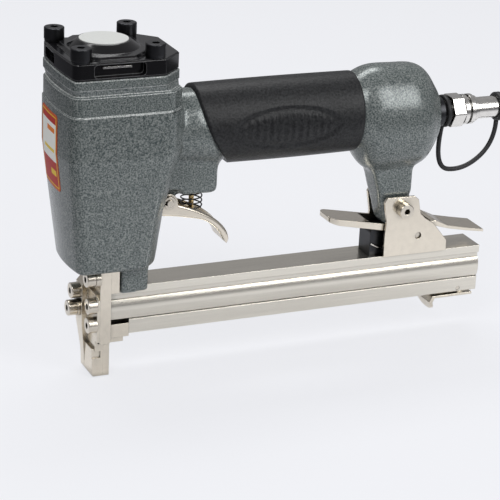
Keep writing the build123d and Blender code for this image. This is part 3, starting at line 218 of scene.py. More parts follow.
def mixed(tree, factor, first, second):
    """The first colour where the factor is 0, and the second where it is 1."""
    mix = add(tree, "ShaderNodeMix", data_type="RGBA")
    first_socket, second_socket = [socket for socket in mix.inputs if socket.type == "RGBA"]
    tree.links.new(factor, mix.inputs["Factor"])
    feed(tree, first, first_socket)
    feed(tree, second, second_socket)
    return next(socket for socket in mix.outputs if socket.type == "RGBA")


def soften(tree, shader, edge, bump=None, depth=0.0):
    """Round the shading of edges by a radius, and add a bump on top."""
    bevel = add(tree, "ShaderNodeBevel", samples=6)
    bevel.inputs["Radius"].default_value = edge
    last = bevel.outputs["Normal"]
    if bump is not None:
        relief = add(tree, "ShaderNodeBump", Strength=1.0, Distance=depth)
        tree.links.new(bump, relief.inputs["Height"])
        tree.links.new(last, relief.inputs["Normal"])
        last = relief.outputs["Normal"]
    tree.links.new(last, shader.inputs["Normal"])


# %% [markdown]
# On the real head every ledge shows as a thin bright line where the edge catches the light, so a
# painted highlight is mixed into the colour along sharp edges. The Bevel node finds such places:
# close to an edge its rounded normal leans away from the true one, and the distance between the two
# makes a mask.

# %% Painted edge highlights
LEAN_START = 0.12
LEAN_FULL = 0.45


def painted_edge_highlight(tree, colour, bright, radius):
    """A painted highlight: a brighter colour along sharp edges."""
    bevel = add(tree, "ShaderNodeBevel", samples=8)
    bevel.inputs["Radius"].default_value = radius
    true_normal = add(tree, "ShaderNodeNewGeometry").outputs["Normal"]
    lean = add(tree, "ShaderNodeVectorMath", operation="DISTANCE")
    tree.links.new(bevel.outputs["Normal"], lean.inputs[0])
    tree.links.new(true_normal, lean.inputs[1])
    mask = span(tree, lean.outputs["Value"], start=LEAN_START, end=LEAN_FULL)
    return mixed(tree, mask, colour, bright)


print("edges brighten from a lean of", LEAN_START, "to", LEAN_FULL)

# %% [markdown]
# The casting wears a hammered grey enamel: a pale grey skin with dark blue-grey flecks, each less than
# a millimetre across, and a slightly lumpy gloss. A fine noise pushed through a steep ramp gives the
# flecks, and the same noise drives the bump and breaks up the painted highlight along the edges.

# %% Hammered enamel
FLECK_SCALE = 1500
ENAMEL_DARK = (0.050, 0.066, 0.068)
ENAMEL_MID = (0.150, 0.170, 0.165)
ENAMEL_PALE = (0.270, 0.290, 0.280)


def hammered_enamel():
    material, tree, shader = new_material("hammered_enamel")
    flecks = noise(tree, FLECK_SCALE, detail=3.0, roughness=0.6)
    cloud = noise(tree, 60)
    colour = ramp(tree, flecks, [(0.36, ENAMEL_DARK), (0.50, ENAMEL_MID), (0.64, ENAMEL_PALE)])
    # The pale ramp is a painted highlight, mixed in along the casting's sharp edges.
    bright = ramp(tree, flecks, [(0.36, (0.30, 0.32, 0.31)), (0.60, (0.80, 0.82, 0.80))])
    tree.links.new(painted_edge_highlight(tree, colour, bright, 0.5 * MM), shader.inputs["Base Color"])
    tree.links.new(span(tree, cloud, 0.15, 0.25), shader.inputs["Roughness"])
    shader.inputs["Metallic"].default_value = 0.2
    soften(tree, shader, 0.7 * MM, flecks, 0.06 * MM)
    return material


enamel = hammered_enamel()
print("finish:", enamel.name)

# %% [markdown]
# The metals differ in colour, in how sharply they mirror and in the direction of their polish. The
# drawn rails carry fine lines along X, so their noise is stretched along that axis. In tight corners
# the Ambient Occlusion node darkens the colour, which is painted shade.

# %% Metals
CORNER_REACH = 4.0 * MM
CORNER_DARKEST = 0.22


def painted_corner_shade(tree, colour):
    """The colour, darkened in tight corners as painted shade."""
    corner = add(tree, "ShaderNodeAmbientOcclusion", samples=8, Distance=CORNER_REACH)
    shade = span(tree, corner.outputs["AO"], low=CORNER_DARKEST, start=0.25, end=0.85)
    dimmed = add(tree, "ShaderNodeVectorMath", operation="SCALE")
    tree.links.new(colour, dimmed.inputs[0])
    tree.links.new(shade, dimmed.inputs["Scale"])
    return dimmed.outputs["Vector"]


def metal(name, colour, rough, spread=0.08, stretch=(1, 1, 1), scale=400.0, edge=0.35, depth=0.004):
    material, tree, shader = new_material(name)
    grain = noise(tree, scale, detail=3.0, stretch=stretch)
    dark = tuple(0.90 * c for c in colour)
    tint = ramp(tree, grain, [(0.3, dark), (0.7, colour)])
    # Painted shade darkens the tint in tight corners.
    tree.links.new(painted_corner_shade(tree, tint), shader.inputs["Base Color"])
    tree.links.new(span(tree, grain, rough, rough + spread), shader.inputs["Roughness"])
    shader.inputs["Metallic"].default_value = 1.0
    soften(tree, shader, edge * MM, grain, depth * MM)
    return material


nickel = metal("satin_nickel", (0.86, 0.79, 0.67), 0.18)
drawn = metal("drawn_nickel", (0.82, 0.78, 0.69), 0.20, stretch=(0.02, 1, 1), scale=1800.0, edge=0.25)
chrome = metal("chrome", (0.82, 0.80, 0.76), 0.16)
screw_steel = metal("screw_steel", (0.78, 0.72, 0.62), 0.20, edge=0.4)
black_steel = metal("oiled_black_steel", (0.055, 0.056, 0.060), 0.30, edge=0.4)
brass = metal("brass", (0.80, 0.58, 0.28), 0.22)
plain_alloy = metal("plain_alloy", (0.70, 0.71, 0.72), 0.30)
print("metals are ready:", len(bpy.data.materials) - 1)

# %% [markdown]
# Three black finishes aren't metal: the cap's mirror-like enamel with a painted highlight along its
# rims, the smooth soft rubber of seals and strap, and the grip's rubber, which is matte and has a fine
# leathery grain. The grain is one noise that drives both the colour and the bump.

# %% Blacks and rubbers
def smooth_coat(name, colour, rough, scale=120.0, rim=None, edge=0.5, depth=0.004):
    material, tree, shader = new_material(name)
    patches = noise(tree, scale)
    pale = tuple(1.25 * c for c in colour)
    tint = ramp(tree, patches, [(0.35, colour), (0.65, pale)])
    # A given rim colour is a painted highlight, mixed in along sharp edges.
    if rim:
        tint = painted_edge_highlight(tree, tint, rim, 0.3 * MM)
    tree.links.new(tint, shader.inputs["Base Color"])
    tree.links.new(span(tree, patches, rough, rough * 1.3), shader.inputs["Roughness"])
    soften(tree, shader, edge * MM, patches, depth * MM)
    return material


def grained_rubber():
    material, tree, shader = new_material("grained_rubber")
    grain = noise(tree, 1000, detail=2.5, roughness=0.65)
    wear = noise(tree, 90)
    tree.links.new(ramp(tree, grain, [(0.36, (0.006, 0.006, 0.007)), (0.64, (0.026, 0.027, 0.028))]),
                   shader.inputs["Base Color"])
    tree.links.new(span(tree, wear, 0.36, 0.48), shader.inputs["Roughness"])
    shader.inputs["Specular IOR Level"].default_value = 0.3
    relief = add(tree, "ShaderNodeBump", Strength=0.8, Distance=0.22 * MM)
    tree.links.new(grain, relief.inputs["Height"])
    tree.links.new(relief.outputs["Normal"], shader.inputs["Normal"])
    return material


# The cap's rim colour is a painted highlight along its edges.
black_gloss = smooth_coat("black_gloss_enamel", (0.003, 0.003, 0.0035), 0.12, edge=0.6,
                          rim=(0.11, 0.11, 0.115))
soft_black = smooth_coat("soft_black_rubber", (0.012, 0.012, 0.013), 0.45, scale=300)
rubber = grained_rubber()
print("finishes:", len(bpy.data.materials))

# %% [markdown]
# The disc in the cap is brushed from its centre outwards, so its grain follows the angle round that
# centre. A gradient in radial mode gives the angle, and a noise along it gives the fine rays.

# %% Brushed disc
RAY_COUNT = 260.0


def brushed_disc():
    material, tree, shader = new_material("brushed_disc")
    low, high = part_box("cap_disc")
    middle = (low + high) / 2
    source = add(tree, "ShaderNodeTexCoord")
    mapping = add(tree, "ShaderNodeMapping")
    mapping.inputs["Location"].default_value = -middle
    tree.links.new(source.outputs["Object"], mapping.inputs["Vector"])
    angle = add(tree, "ShaderNodeTexGradient", gradient_type="RADIAL")
    tree.links.new(mapping.outputs["Vector"], angle.inputs["Vector"])
    rays = add(tree, "ShaderNodeTexNoise", noise_dimensions="1D", Scale=1.0, Detail=4.0)
    turns = add(tree, "ShaderNodeMath", operation="MULTIPLY")
    turns.inputs[1].default_value = RAY_COUNT
    tree.links.new(angle.outputs["Fac"], turns.inputs[0])
    tree.links.new(turns.outputs["Value"], rays.inputs["W"])
    tree.links.new(ramp(tree, rays.outputs["Fac"], [(0.25, (0.58, 0.60, 0.58)), (0.70, (0.84, 0.85, 0.82))]),
                   shader.inputs["Base Color"])
    tree.links.new(span(tree, rays.outputs["Fac"], 0.35, 0.5), shader.inputs["Roughness"])
    shader.inputs["Metallic"].default_value = 0.3
    return material


disc_finish = brushed_disc()
print("finish:", disc_finish.name)

# %% [markdown]
# Most pieces of the frame are already the shape that is wanted, so each one only gets its finish. A
# dictionary from finish to nodes keeps that readable, and nothing but the material slot is touched.

# %% Finishes on the frame's own nodes
FINISHES = {
    black_gloss: ["cap"],
    black_steel: ["cap_screws", "cap_washers", "cap_gasket", "rail_anchor", "inlet_bush"],
    drawn: ["magazine_rail", "slide_carrier"],
    nickel: ["trigger", "nose_block", "nose_plate", "bracket_near", "bracket_far", "bracket_spacers",
             "lock_lever", "release_latch", "slide_nose", "pusher"],
    screw_steel: ["nose_screws", "nose_washers", "bracket_screw", "bracket_nut", "trigger_pin",
                  "trigger_clip", "lever_pin", "latch_pin"],
    chrome: ["air_plug", "exhaust_bars", "driver_blade", "blade_pin", "pusher_rod", "latch_leaf"],
    brass: ["valve_housing", "valve_stem"],
    plain_alloy: ["cylinder_sleeve", "piston", "head_valve"],
    soft_black: ["sleeve_orings", "piston_oring", "head_valve_oring", "valve_orings", "bumper"],
    disc_finish: ["cap_disc"],
}
for finish, names in FINISHES.items():
    for name in names:
        mesh = nodes[name].data
        mesh.materials.clear()
        mesh.materials.append(finish)
print("painted nodes:", sum(len(names) for names in FINISHES.values()))

# %% [markdown]
# The head, handle and leg are one casting. The head keeps the CAD's crisp storeys, but the neck, the
# trigger boss, the rear bulge and the leg of a real casting flow into each other. So the casting is
# made from merged copies in two pieces, one crisp and one smooth. These values say where they part,
# and a helper cuts a copy along a plane and closes the cut.

# %% Cutting the casting
HEAD_BACK = 31.85 * MM
HEAD_STEP = 122.1 * MM
SEAM_HIGH = Vector((24.5, 0, 122.0)) * MM
SEAM_LOW = Vector((16.3, 0, 51.0)) * MM
seam_normal = Vector((SEAM_HIGH.z - SEAM_LOW.z, 0, SEAM_LOW.x - SEAM_HIGH.x)).normalized()


def casting_copy():
    bm = bmesh.new()
    bm.from_mesh(nodes["body_casting"].data)
    bmesh.ops.remove_doubles(bm, verts=bm.verts, dist=1e-6)
    return bm


def cut_away(bm, faces, place, normal):
    """Remove the side that the normal points to, and close the cut."""
    region = list({v for f in faces for v in f.verts}) + list({e for f in faces for e in f.edges}) + faces
    bmesh.ops.bisect_plane(bm, geom=region, plane_co=place, plane_no=normal, clear_outer=True)
    bmesh.ops.triangle_fill(bm, edges=open_edges(bm), use_beauty=True)


print("seam faces", [round(v, 3) for v in seam_normal])

# %% [markdown]
# The head stays as crisp as it is in the frame. Above its step it ends at a flat cut behind the head,
# and below the step at a leaning cut, which follows the head's rear corners.

# %% Head casting
head = casting_copy()
bmesh.ops.bisect_plane(head, geom=head.verts[:] + head.edges[:] + head.faces[:],
                       plane_co=(0, 0, HEAD_STEP), plane_no=(0, 0, 1))
above = [f for f in head.faces if f.calc_center_median().z > HEAD_STEP]
cut_away(head, above, (HEAD_BACK, 0, 0), (1, 0, 0))
below = [f for f in head.faces if f.calc_center_median().z < HEAD_STEP]
cut_away(head, below, SEAM_LOW, seam_normal)
print("head casting is closed:", not open_edges(head))
head_piece = finish_piece(head, "head_casting", "tool", enamel, smooth=False)
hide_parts("body_casting")

# %% [markdown]
# The rest is joined with the head's low rear part and remeshed into small squares. Smoothing these
# turns each inner corner into a soft fillet. Ahead of the head's rear corners the smooth skin sinks
# slowly into the crisp one, so that no seam shows.

# %% Handle casting
SKIN_FRONT = 8.0 * MM
SQUARE = 0.9 * MM
FLOW_STEPS = 22
SKIN_GROW = 0.10 * MM
SKIN_SINK = 0.45 * MM
SINK_START = 1.0 * MM
SINK_LENGTH = 7.0 * MM

rear = casting_copy()
cut_away(rear, rear.faces[:], (HEAD_BACK, 0, 0), (-1, 0, 0))
low_part = casting_copy()
cut_away(low_part, low_part.faces[:], (SKIN_FRONT, 0, 0), (-1, 0, 0))
cut_away(low_part, low_part.faces[:], (0, 0, HEAD_STEP), (0, 0, 1))
spare = bpy.data.meshes.new("low_part")
low_part.to_mesh(spare)
low_part.free()
rear.from_mesh(spare)
print("rear casting is closed:", not open_edges(rear))
block = finish_piece(rear, "rear_block", None)
remesh = block.modifiers.new("squares", "REMESH")
remesh.mode = "VOXEL"
remesh.voxel_size = SQUARE
flow = block.modifiers.new("flow", "SMOOTH")
flow.factor = 0.5
flow.iterations = FLOW_STEPS
bpy.context.view_layer.update()
flowing = block.evaluated_get(bpy.context.evaluated_depsgraph_get())
skin = bmesh.new()
skin.from_mesh(flowing.to_mesh())
bpy.data.objects.remove(block)
skin.normal_update()
for v in skin.verts:
    ahead_of_seam = (SEAM_LOW - v.co).dot(seam_normal)
    sink = ease((ahead_of_seam - SINK_START) / SINK_LENGTH) * SKIN_SINK
    v.co += v.normal * (SKIN_GROW - sink)
rear_piece = finish_piece(skin, "handle_casting", "tool", enamel, recalc=False)

# %% [markdown]
# The grip is a rubber sleeve, pulled over the handle. Its front edge is cut on a slant, and each
# flank has a shallow oval panel with upright ribs, left plain otherwise. The frame gives the sleeve's
# box, and these values shape its edge, its panel and its lips.

# %% Grip sizes
GRIP_POINTS = 144
GRIP_BANDS = 150
grip_low, grip_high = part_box("grip_sleeve")
grip_middle = (grip_low + grip_high) / 2
grip_half = (grip_high - grip_low) / 2
EDGE_TOP_X = 41.5 * MM
EDGE_MID_X = 45.0 * MM
EDGE_LOW_X = 57.5 * MM
PANEL_X = 81.0 * MM
PANEL_HALF = 26.0 * MM
PANEL_RISE = 9.4 * MM
PANEL_DROP = 0.4 * MM
PANEL_DEPTH = 0.75 * MM
PANEL_STEEPNESS = 5.0
FLANK_START = 0.3
RIB_PITCH = 3.4 * MM
RIB_HEIGHT = 0.55 * MM
RIB_FIELD = 0.78
RIB_FLATTEN = 1.6
RIB_STEEPNESS = 6.0
SWELL = 0.25 * MM
LIP_BANDS = 2.2
LIP_DRAW = 1.7 * MM
RIM_SHARE_Y = 0.86
RIM_SHARE_Z = 0.87
print("grip length", round((grip_high.x - grip_low.x) / MM, 1), "mm")

# %% [markdown]
# The sleeve begins as a ring of points, which is extruded along X in many thin bands. Then the points
# are moved: forwards to the slanted edge, inwards at both lips, and inwards again within the panel.

# %% Grip
def front_edge(height):
    """X of the slanted front edge, for a height from -1 (bottom) to 1 (top)."""
    bend = (EDGE_TOP_X + EDGE_LOW_X) / 2 - EDGE_MID_X
    return EDGE_MID_X + (EDGE_TOP_X - EDGE_LOW_X) / 2 * height + bend * height ** 2


def sleeve():
    """A tube of unit radius, in bands of unit width along X."""
    bm = bmesh.new()
    turn = Matrix.Rotation(math.pi / 2, 4, "Y")
    bmesh.ops.create_circle(bm, segments=GRIP_POINTS, radius=1.0, matrix=turn)
    loop = bm.edges[:]
    for band in range(GRIP_BANDS):
        out = bmesh.ops.extrude_edge_only(bm, edges=loop)["geom"]
        fresh = [g for g in out if isinstance(g, bmesh.types.BMVert)]
        loop = [g for g in out if isinstance(g, bmesh.types.BMEdge)]
        bmesh.ops.translate(bm, verts=fresh, vec=(1, 0, 0))
    return bm


def shape_sleeve(bm):
    """Moves the ring points onto the handle, and presses in the lips and the ribbed panels."""
    for v in bm.verts:
        share = v.co.x / GRIP_BANDS
        from_end = min(v.co.x, GRIP_BANDS - v.co.x)
        draw_in = (1 - ease(from_end / LIP_BANDS)) * LIP_DRAW
        swell = SWELL * math.sin(math.pi * share)
        height = v.co.z
        x = front_edge(height) * (1 - share) + grip_high.x * share
        y = v.co.y * (grip_half.y - draw_in + swell)
        z = grip_middle.z + height * (grip_half.z - draw_in + swell)
        along = (x - PANEL_X) / PANEL_HALF
        rise = (z - grip_middle.z + PANEL_DROP) / PANEL_RISE
        inside = ease((1 - along ** 2 - rise ** 2) * PANEL_STEEPNESS)
        ribs = 0.5 + 0.5 * math.cos(2 * math.pi * (x - PANEL_X) / RIB_PITCH)
        middle = ease((RIB_FIELD - along ** 2 - rise ** 2 * RIB_FLATTEN) * RIB_STEEPNESS)
        depth = inside * (PANEL_DEPTH - RIB_HEIGHT * middle * ribs)
        if abs(v.co.y) > FLANK_START:
            y -= math.copysign(min(depth, abs(y)), y)
        v.co = (x, y, z)


grip = sleeve()
shape_sleeve(grip)
for x_end in (True, False):
    rim = [e for e in open_edges(grip) if (e.verts[0].co.x > grip_middle.x) == x_end]
    inner = bmesh.ops.extrude_edge_only(grip, edges=rim)["geom"]
    for v in [g for g in inner if isinstance(g, bmesh.types.BMVert)]:
        v.co.y *= RIM_SHARE_Y
        v.co.z = grip_middle.z + (v.co.z - grip_middle.z) * RIM_SHARE_Z
grip_piece = finish_piece(grip, "rubber_grip", "tool", rubber)
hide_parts("grip_sleeve")

# %% [markdown]
# A coil spring is a small ring that is spun round an axis while it climbs. Spin does both at once:
# its step vector lifts each copy of the ring.

# %% Helpers for springs
def coil(name, node, centre, radius, wire, turns, rise, axis="Z", steps=28, sides=10):
    bm = bmesh.new()
    ring = Matrix.Translation((radius, 0, 0)) @ Matrix.Rotation(math.pi / 2, 4, "X")
    bmesh.ops.create_circle(bm, segments=sides, radius=wire / 2, matrix=ring)
    count = round(turns * steps)
    bmesh.ops.spin(bm, geom=bm.verts[:] + bm.edges[:], cent=(0, 0, 0), axis=(0, 0, 1),
                   dvec=(0, 0, rise / count), angle=turns * 2 * math.pi, steps=count, use_merge=False)
    bmesh.ops.holes_fill(bm, edges=open_edges(bm), sides=sides)
    if axis == "X":
        bmesh.ops.rotate(bm, verts=bm.verts, matrix=Matrix.Rotation(math.pi / 2, 3, "Y"))
    if axis == "Y":
        bmesh.ops.rotate(bm, verts=bm.verts, matrix=Matrix.Rotation(-math.pi / 2, 3, "X"))
    bmesh.ops.translate(bm, verts=bm.verts, vec=centre)
    body = nodes[node]["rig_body"]
    piece = finish_piece(bm, name, body, chrome)
    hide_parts(node)
    return piece


def middle_of(node):
    low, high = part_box(node)
    return (low + high) / 2, low, high


# %% [markdown]
# Four coil springs are pressed flatter when the trigger, a valve or the pusher moves. Each coil is
# built from the box of its node in the frame.

# %% Springs
trigger_mid, trigger_low, trigger_high = middle_of("trigger_spring")
TRIGGER_WIRE = 0.62 * MM
trigger_radius = (trigger_high.x - trigger_low.x - TRIGGER_WIRE) / 2
trigger_coil = coil("trigger_coil", "trigger_spring",
                    (trigger_mid.x, trigger_mid.y, trigger_low.z + TRIGGER_WIRE / 2), trigger_radius,
                    TRIGGER_WIRE, 4, trigger_high.z - trigger_low.z - TRIGGER_WIRE)
trigger_coil.data.materials[0] = black_steel
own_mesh(trigger_coil)

for node, wire, turns, joint in (("valve_spring", 0.5, 5, "stem_slide"),
                                 ("head_valve_spring", 1.1, 3, "head_valve_lift")):
    mid, low, high = middle_of(node)
    wire_size = wire * MM
    hidden = coil(node + "_coil", node, (mid.x, mid.y, low.z + wire_size / 2),
                  (high.x - low.x - wire_size) / 2, wire_size, turns, high.z - low.z - wire_size)
    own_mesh(hidden)

mid, low, high = middle_of("pusher_spring")
PUSHER_WIRE = 0.6 * MM
pusher_coil = coil("pusher_coil", "pusher_spring", (low.x + PUSHER_WIRE / 2, mid.y, mid.z),
                   (high.y - low.y - PUSHER_WIRE) / 2, PUSHER_WIRE, 60, high.x - low.x - PUSHER_WIRE,
                   axis="X", steps=16, sides=6)
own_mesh(pusher_coil)

# %% [markdown]
# The lock lever's spring has a few turns round the lever's pin and one long leg, which hooks over the
# front of the black block. Its curve has a round bevel, so a tube follows it, and it is then made a
# mesh like every other piece.

# %% Lever spring
def bent_wire(name, points, radius, order=3):
    curve = bpy.data.curves.new(name, "CURVE")
    curve.dimensions = "3D"
    curve.bevel_depth = radius
    curve.bevel_resolution = 3
    curve.use_fill_caps = True
    curve.resolution_u = 10
    spline = curve.splines.new("NURBS")
    spline.points.add(len(points) - 1)
    for point, place in zip(spline.points, points):
        point.co = (*place, 1)
    spline.order_u = order
    spline.use_endpoint_u = True
    holder = bpy.data.objects.new(name, curve)
    bm = bmesh.new()
    bm.from_mesh(bpy.data.meshes.new_from_object(holder))
    bpy.data.objects.remove(holder)
    return bm


pin_low, pin_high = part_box("lever_pin")
pin_x = (pin_low.x + pin_high.x) / 2
pin_z = (pin_low.z + pin_high.z) / 2
SPRING_WIRE = 0.8 * MM
SPRING_R = 3.0 * MM
SPRING_Y = -5.4 * MM
SPRING_PITCH = 1.25 * MM
SPRING_TURNS = 3
STEPS_A_TURN = 8
REACH = SPRING_R * 1.05
wire_path = [(129.9 * MM, SPRING_Y, 46.4 * MM), (136.2 * MM, SPRING_Y, 42.4 * MM),
             (144.5 * MM, SPRING_Y, pin_z - SPRING_R)]
for step in range(SPRING_TURNS * STEPS_A_TURN + 1):
    angle = -math.pi / 2 + step * 2 * math.pi / STEPS_A_TURN
    wire_path.append((pin_x + REACH * math.cos(angle), SPRING_Y + SPRING_PITCH * step / STEPS_A_TURN,
                      pin_z + REACH * math.sin(angle)))
lever_wire = finish_piece(bent_wire("lever_wire", wire_path, SPRING_WIRE / 2), "lever_wire", "tool", chrome)
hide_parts("lever_spring")

# %% [markdown]
# A limp black strap keeps the dust cap from being lost. One end is a ring round the plug's neck and
# the other is moulded to the cap. It hangs in a loop, so its route is a NURBS line.

# %% Strap
STRAP_R = 1.1 * MM
cap_low, cap_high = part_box("dust_cap")
strap_end_x = cap_low.x + 1.6 * MM
inlet_z = (cap_low.z + cap_high.z) / 2
cap_r = (cap_high.z - cap_low.z) / 2
RING_X = 165.0 * MM
RING_R = 7.4 * MM
ROUTE = [
    (RING_X, 0, inlet_z - RING_R + 1 * MM), (161.6 * MM, 0, 78.0 * MM), (178.5 * MM, 0, 75.6 * MM),
    (strap_end_x, 0, 87.5 * MM), (strap_end_x, 0, inlet_z - cap_r - 0.05 * MM),
]
line = bpy.data.curves.new("strap_line", "CURVE")
line.dimensions = "3D"
line.resolution_u = 16
route = line.splines.new("NURBS")
route.points.add(len(ROUTE) - 1)
for point, place in zip(route.points, ROUTE):
    point.co = (*place, 1)
route.order_u = 3
route.use_endpoint_u = True
line_object = bpy.data.objects.new("strap_line", line)
strap_path = [v.co.copy() for v in bpy.data.meshes.new_from_object(line_object).vertices]
bpy.data.objects.remove(line_object)
strap = finish_piece(bent_wire("strap", ROUTE, STRAP_R), "strap", None, soft_black)
strap_length = sum((b - a).length for a, b in zip(strap_path, strap_path[1:]))
print("strap length", round(strap_length / MM, 1), "mm")
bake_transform(strap)

# %% [markdown]
# The strap's ring is a turned shape: a profile that is spun round the inlet's own axis. It rides on
# the tool, and the strap hangs from it.

# %% Strap ring
def spun(name, body, material, profile, centre_z, segments=64):
    """A profile of (x, radius) points, spun round the X axis at a height."""
    bm = bmesh.new()
    points = [bm.verts.new((x, 0, radius)) for x, radius in profile]
    for a, b in zip(points, points[1:]):
        bm.edges.new((a, b))
    bmesh.ops.spin(bm, geom=bm.verts[:] + bm.edges[:], cent=(0, 0, 0), axis=(1, 0, 0),
                   angle=2 * math.pi, steps=segments, use_merge=True)
    bmesh.ops.translate(bm, verts=bm.verts, vec=(0, 0, centre_z))
    return finish_piece(bm, name, body, material)


ring_half = 1.0 * MM
RING_BORE = 5.3 * MM
RING_ROUND = 0.4 * MM
ring = spun("strap_ring", "tool", soft_black, [
    (RING_X - ring_half, RING_BORE), (RING_X - ring_half, RING_R - RING_ROUND),
    (RING_X - ring_half * 0.6, RING_R), (RING_X + ring_half * 0.6, RING_R),
    (RING_X + ring_half, RING_R - RING_ROUND), (RING_X + ring_half, RING_BORE),
    (RING_X - ring_half, RING_BORE)], inlet_z)
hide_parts("cap_strap")

# %% [markdown]
# The dust cap is turned too. It is a deep cup, with a bead round its mouth and a rounded end.

# %% Dust cap
CUP_BORE_R = 5.0 * MM
dust_cap = spun("dust_cup", "dust_cap", soft_black, [
    (cap_high.x - 2.4 * MM, 0.02 * MM), (cap_high.x - 2.4 * MM, CUP_BORE_R), (cap_low.x, CUP_BORE_R),
    (cap_low.x, cap_r - 0.5 * MM), (cap_low.x + 0.5 * MM, cap_r), (cap_low.x + 2.6 * MM, cap_r),
    (cap_low.x + 3.1 * MM, cap_r - 0.45 * MM), (cap_high.x - 3.2 * MM, cap_r - 0.45 * MM),
    (cap_high.x - 1.6 * MM, cap_r - 0.9 * MM), (cap_high.x - 0.5 * MM, cap_r - 2.2 * MM),
    (cap_high.x, cap_r - 4.0 * MM), (cap_high.x, 0.02 * MM)], inlet_z)
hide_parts("dust_cap")

# %% [markdown]
# The label on the head's front is a printed film. Its print is plain bands of colour: a yellow line
# runs round a red field, in which lie a white field and a few small bars. Each band is a box in the
# label's own Y and Z, made by a pair of comparisons, and each box is laid over the ones before it.

# %% Label
def band(tree, axis, low, high):
    """1 where the coordinate is between low and high."""
    inside = add(tree, "ShaderNodeMath", operation="COMPARE")
    inside.inputs[1].default_value = (low + high) / 2
    inside.inputs[2].default_value = (high - low) / 2
    tree.links.new(axis, inside.inputs[0])
    return inside.outputs["Value"]


def printed_film():
    material, tree, shader = new_material("printed_film")
    low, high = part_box("front_label")
    split = add(tree, "ShaderNodeSeparateXYZ")
    source = add(tree, "ShaderNodeTexCoord")
    tree.links.new(source.outputs["Object"], split.inputs["Vector"])
    y, z = split.outputs["Y"], split.outputs["Z"]
    y0, y1, z0, z1 = low.y / MM, high.y / MM, low.z / MM, high.z / MM
    boxes = [
        ((y0 + 1.1, y1 - 1.1, z0 + 1.1, z1 - 1.1), (0.90, 0.62, 0.04)),
        ((y0 + 1.6, y1 - 1.6, z0 + 1.6, z1 - 1.6), (0.52, 0.028, 0.020)),
        ((y0 + 1.6, y1 - 1.6, z0 + 12.5, z1 - 4.5), (0.95, 0.95, 0.90)),
        ((y0 + 3.0, y0 + 12.5, z1 - 8.6, z1 - 6.4), (0.85, 0.24, 0.03)),
        ((y0 + 3.0, y0 + 16.5, z0 + 16.5, z0 + 18.0), (0.90, 0.66, 0.10)),
        ((y0 + 3.0, y0 + 9.5, z0 + 6.0, z0 + 8.6), (0.90, 0.62, 0.04)),
    ]
    last = (0.62, 0.10, 0.02)
    for (ya, yb, za, zb), tint in boxes:
        both = add(tree, "ShaderNodeMath", operation="MULTIPLY")
        tree.links.new(band(tree, y, ya * MM, yb * MM), both.inputs[0])
        tree.links.new(band(tree, z, za * MM, zb * MM), both.inputs[1])
        last = mixed(tree, both.outputs["Value"], last, tint)
    tree.links.new(last, shader.inputs["Base Color"])
    shader.inputs["Roughness"].default_value = 0.45
    shader.inputs["Specular IOR Level"].default_value = 0.2
    return material


label_mesh = nodes["front_label"].data
label_mesh.materials.clear()
label_mesh.materials.append(printed_film())
print("label bands are in place")

# %% [markdown]
# The stage is a small white table in a dim room. The table is bright near the tool and fades to grey
# further out, so low metal faces mirror white while high ones mirror the dim room, as in a product
# photo. The camera alone sees the whole table and the room as one pale backdrop: for its rays the
# table is mostly a plain glow, and the rest is the lit table, which keeps the tool's shadow.

# %% Table
FLOOR_Z = -0.5 * MM
FLOOR_HALF = 4.0
BACK_COLOUR = (0.872, 0.880, 0.914)
TABLE_MIDDLE = (0.20, 0.08, 0)
TABLE_NEAR = 0.22
TABLE_FAR = 0.50
DIM_COLOUR = (0.10, 0.10, 0.11)
BACKDROP_SHARE = 0.80
floor_mesh = bmesh.new()
bmesh.ops.create_grid(floor_mesh, x_segments=1, y_segments=1, size=FLOOR_HALF,
                      matrix=Matrix.Translation((0, 0, FLOOR_Z)))
floor = finish_piece(floor_mesh, "floor", None)


def seen_or_not(tree, seen, unseen):
    """One colour for the camera's own rays and another for every other ray."""
    path = add(tree, "ShaderNodeLightPath")
    return mixed(tree, path.outputs["Is Camera Ray"], unseen, seen)


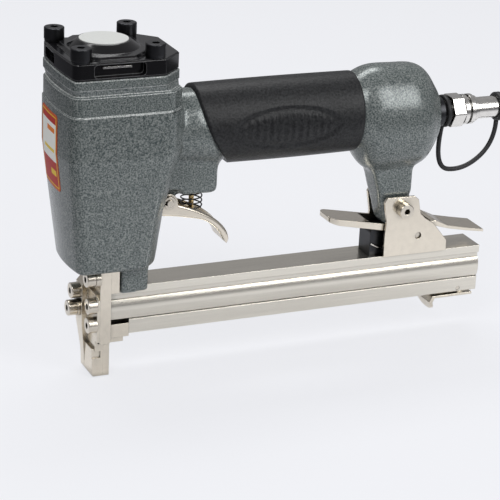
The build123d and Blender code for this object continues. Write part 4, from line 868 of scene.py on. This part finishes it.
floor_material, floor_tree, floor_shader = new_material("pale_floor")
spread = add(floor_tree, "ShaderNodeVectorMath", operation="LENGTH")
from_middle = add(floor_tree, "ShaderNodeVectorMath", operation="SUBTRACT")
from_middle.inputs[1].default_value = TABLE_MIDDLE
floor_tree.links.new(place_of(floor_tree, (1, 1, 1)), from_middle.inputs[0])
floor_tree.links.new(from_middle.outputs["Vector"], spread.inputs[0])
fade = span(floor_tree, spread.outputs["Value"], start=TABLE_NEAR, end=TABLE_FAR)
table = ramp(floor_tree, fade, [(0.0, BACK_COLOUR), (1.0, DIM_COLOUR)])
floor_tree.links.new(seen_or_not(floor_tree, BACK_COLOUR, table), floor_shader.inputs["Base Color"])
floor_shader.inputs["Roughness"].default_value = 0.9
floor_shader.inputs["Specular IOR Level"].default_value = 0.1
glow = add(floor_tree, "ShaderNodeEmission", Strength=1.0)
glow.inputs["Color"].default_value = (*BACK_COLOUR, 1)
share = add(floor_tree, "ShaderNodeMath", operation="MULTIPLY")
share.inputs[1].default_value = BACKDROP_SHARE
floor_tree.links.new(add(floor_tree, "ShaderNodeLightPath").outputs["Is Camera Ray"], share.inputs[0])
backdrop = add(floor_tree, "ShaderNodeMixShader")
floor_tree.links.new(share.outputs["Value"], backdrop.inputs["Fac"])
floor_tree.links.new(floor_shader.outputs["BSDF"], backdrop.inputs[1])
floor_tree.links.new(glow.outputs["Emission"], backdrop.inputs[2])
floor_tree.links.new(backdrop.outputs["Shader"], floor_tree.nodes["Material Output"].inputs["Surface"])
floor.data.materials.append(floor_material)

# %% [markdown]
# The room is the world: pale for the camera's rays and dim for all others. Three soft lamps give the
# light, at a level where a colour renders about as it is written.

# %% Room and lamps
world = bpy.data.worlds.new("studio")
bpy.context.scene.world = world
world.use_nodes = True
world_tree = world.node_tree
background = world_tree.nodes["Background"]
ROOM_COLOUR = (0.30, 0.30, 0.31)
world_tree.links.new(seen_or_not(world_tree, BACK_COLOUR, ROOM_COLOUR), background.inputs["Color"])
background.inputs["Strength"].default_value = 1.0


def soft_lamp(name, place, aim, size, power, height=None):
    lamp = bpy.data.lights.new(name, "AREA")
    lamp.shape = "RECTANGLE"
    lamp.size = size
    lamp.size_y = height or size
    lamp.energy = power
    holder = bpy.data.objects.new(name, lamp)
    holder.location = place
    holder.rotation_euler = (Vector(aim) - Vector(place)).to_track_quat("-Z", "Y").to_euler()
    bpy.context.scene.collection.objects.link(holder)


AIM = (0.08, 0, 0.09)
soft_lamp("key", (-0.55, -0.75, 1.0), AIM, 0.55, 6.0)
soft_lamp("fill", (0.58, -0.85, 0.66), AIM, 0.40, 5.0, 0.75)
soft_lamp("top", (0.1, 0.50, 1.1), AIM, 0.9, 6.0, 0.35)
bpy.context.scene.view_settings.view_transform = "Standard"
print("lamps:", len(bpy.data.lights))
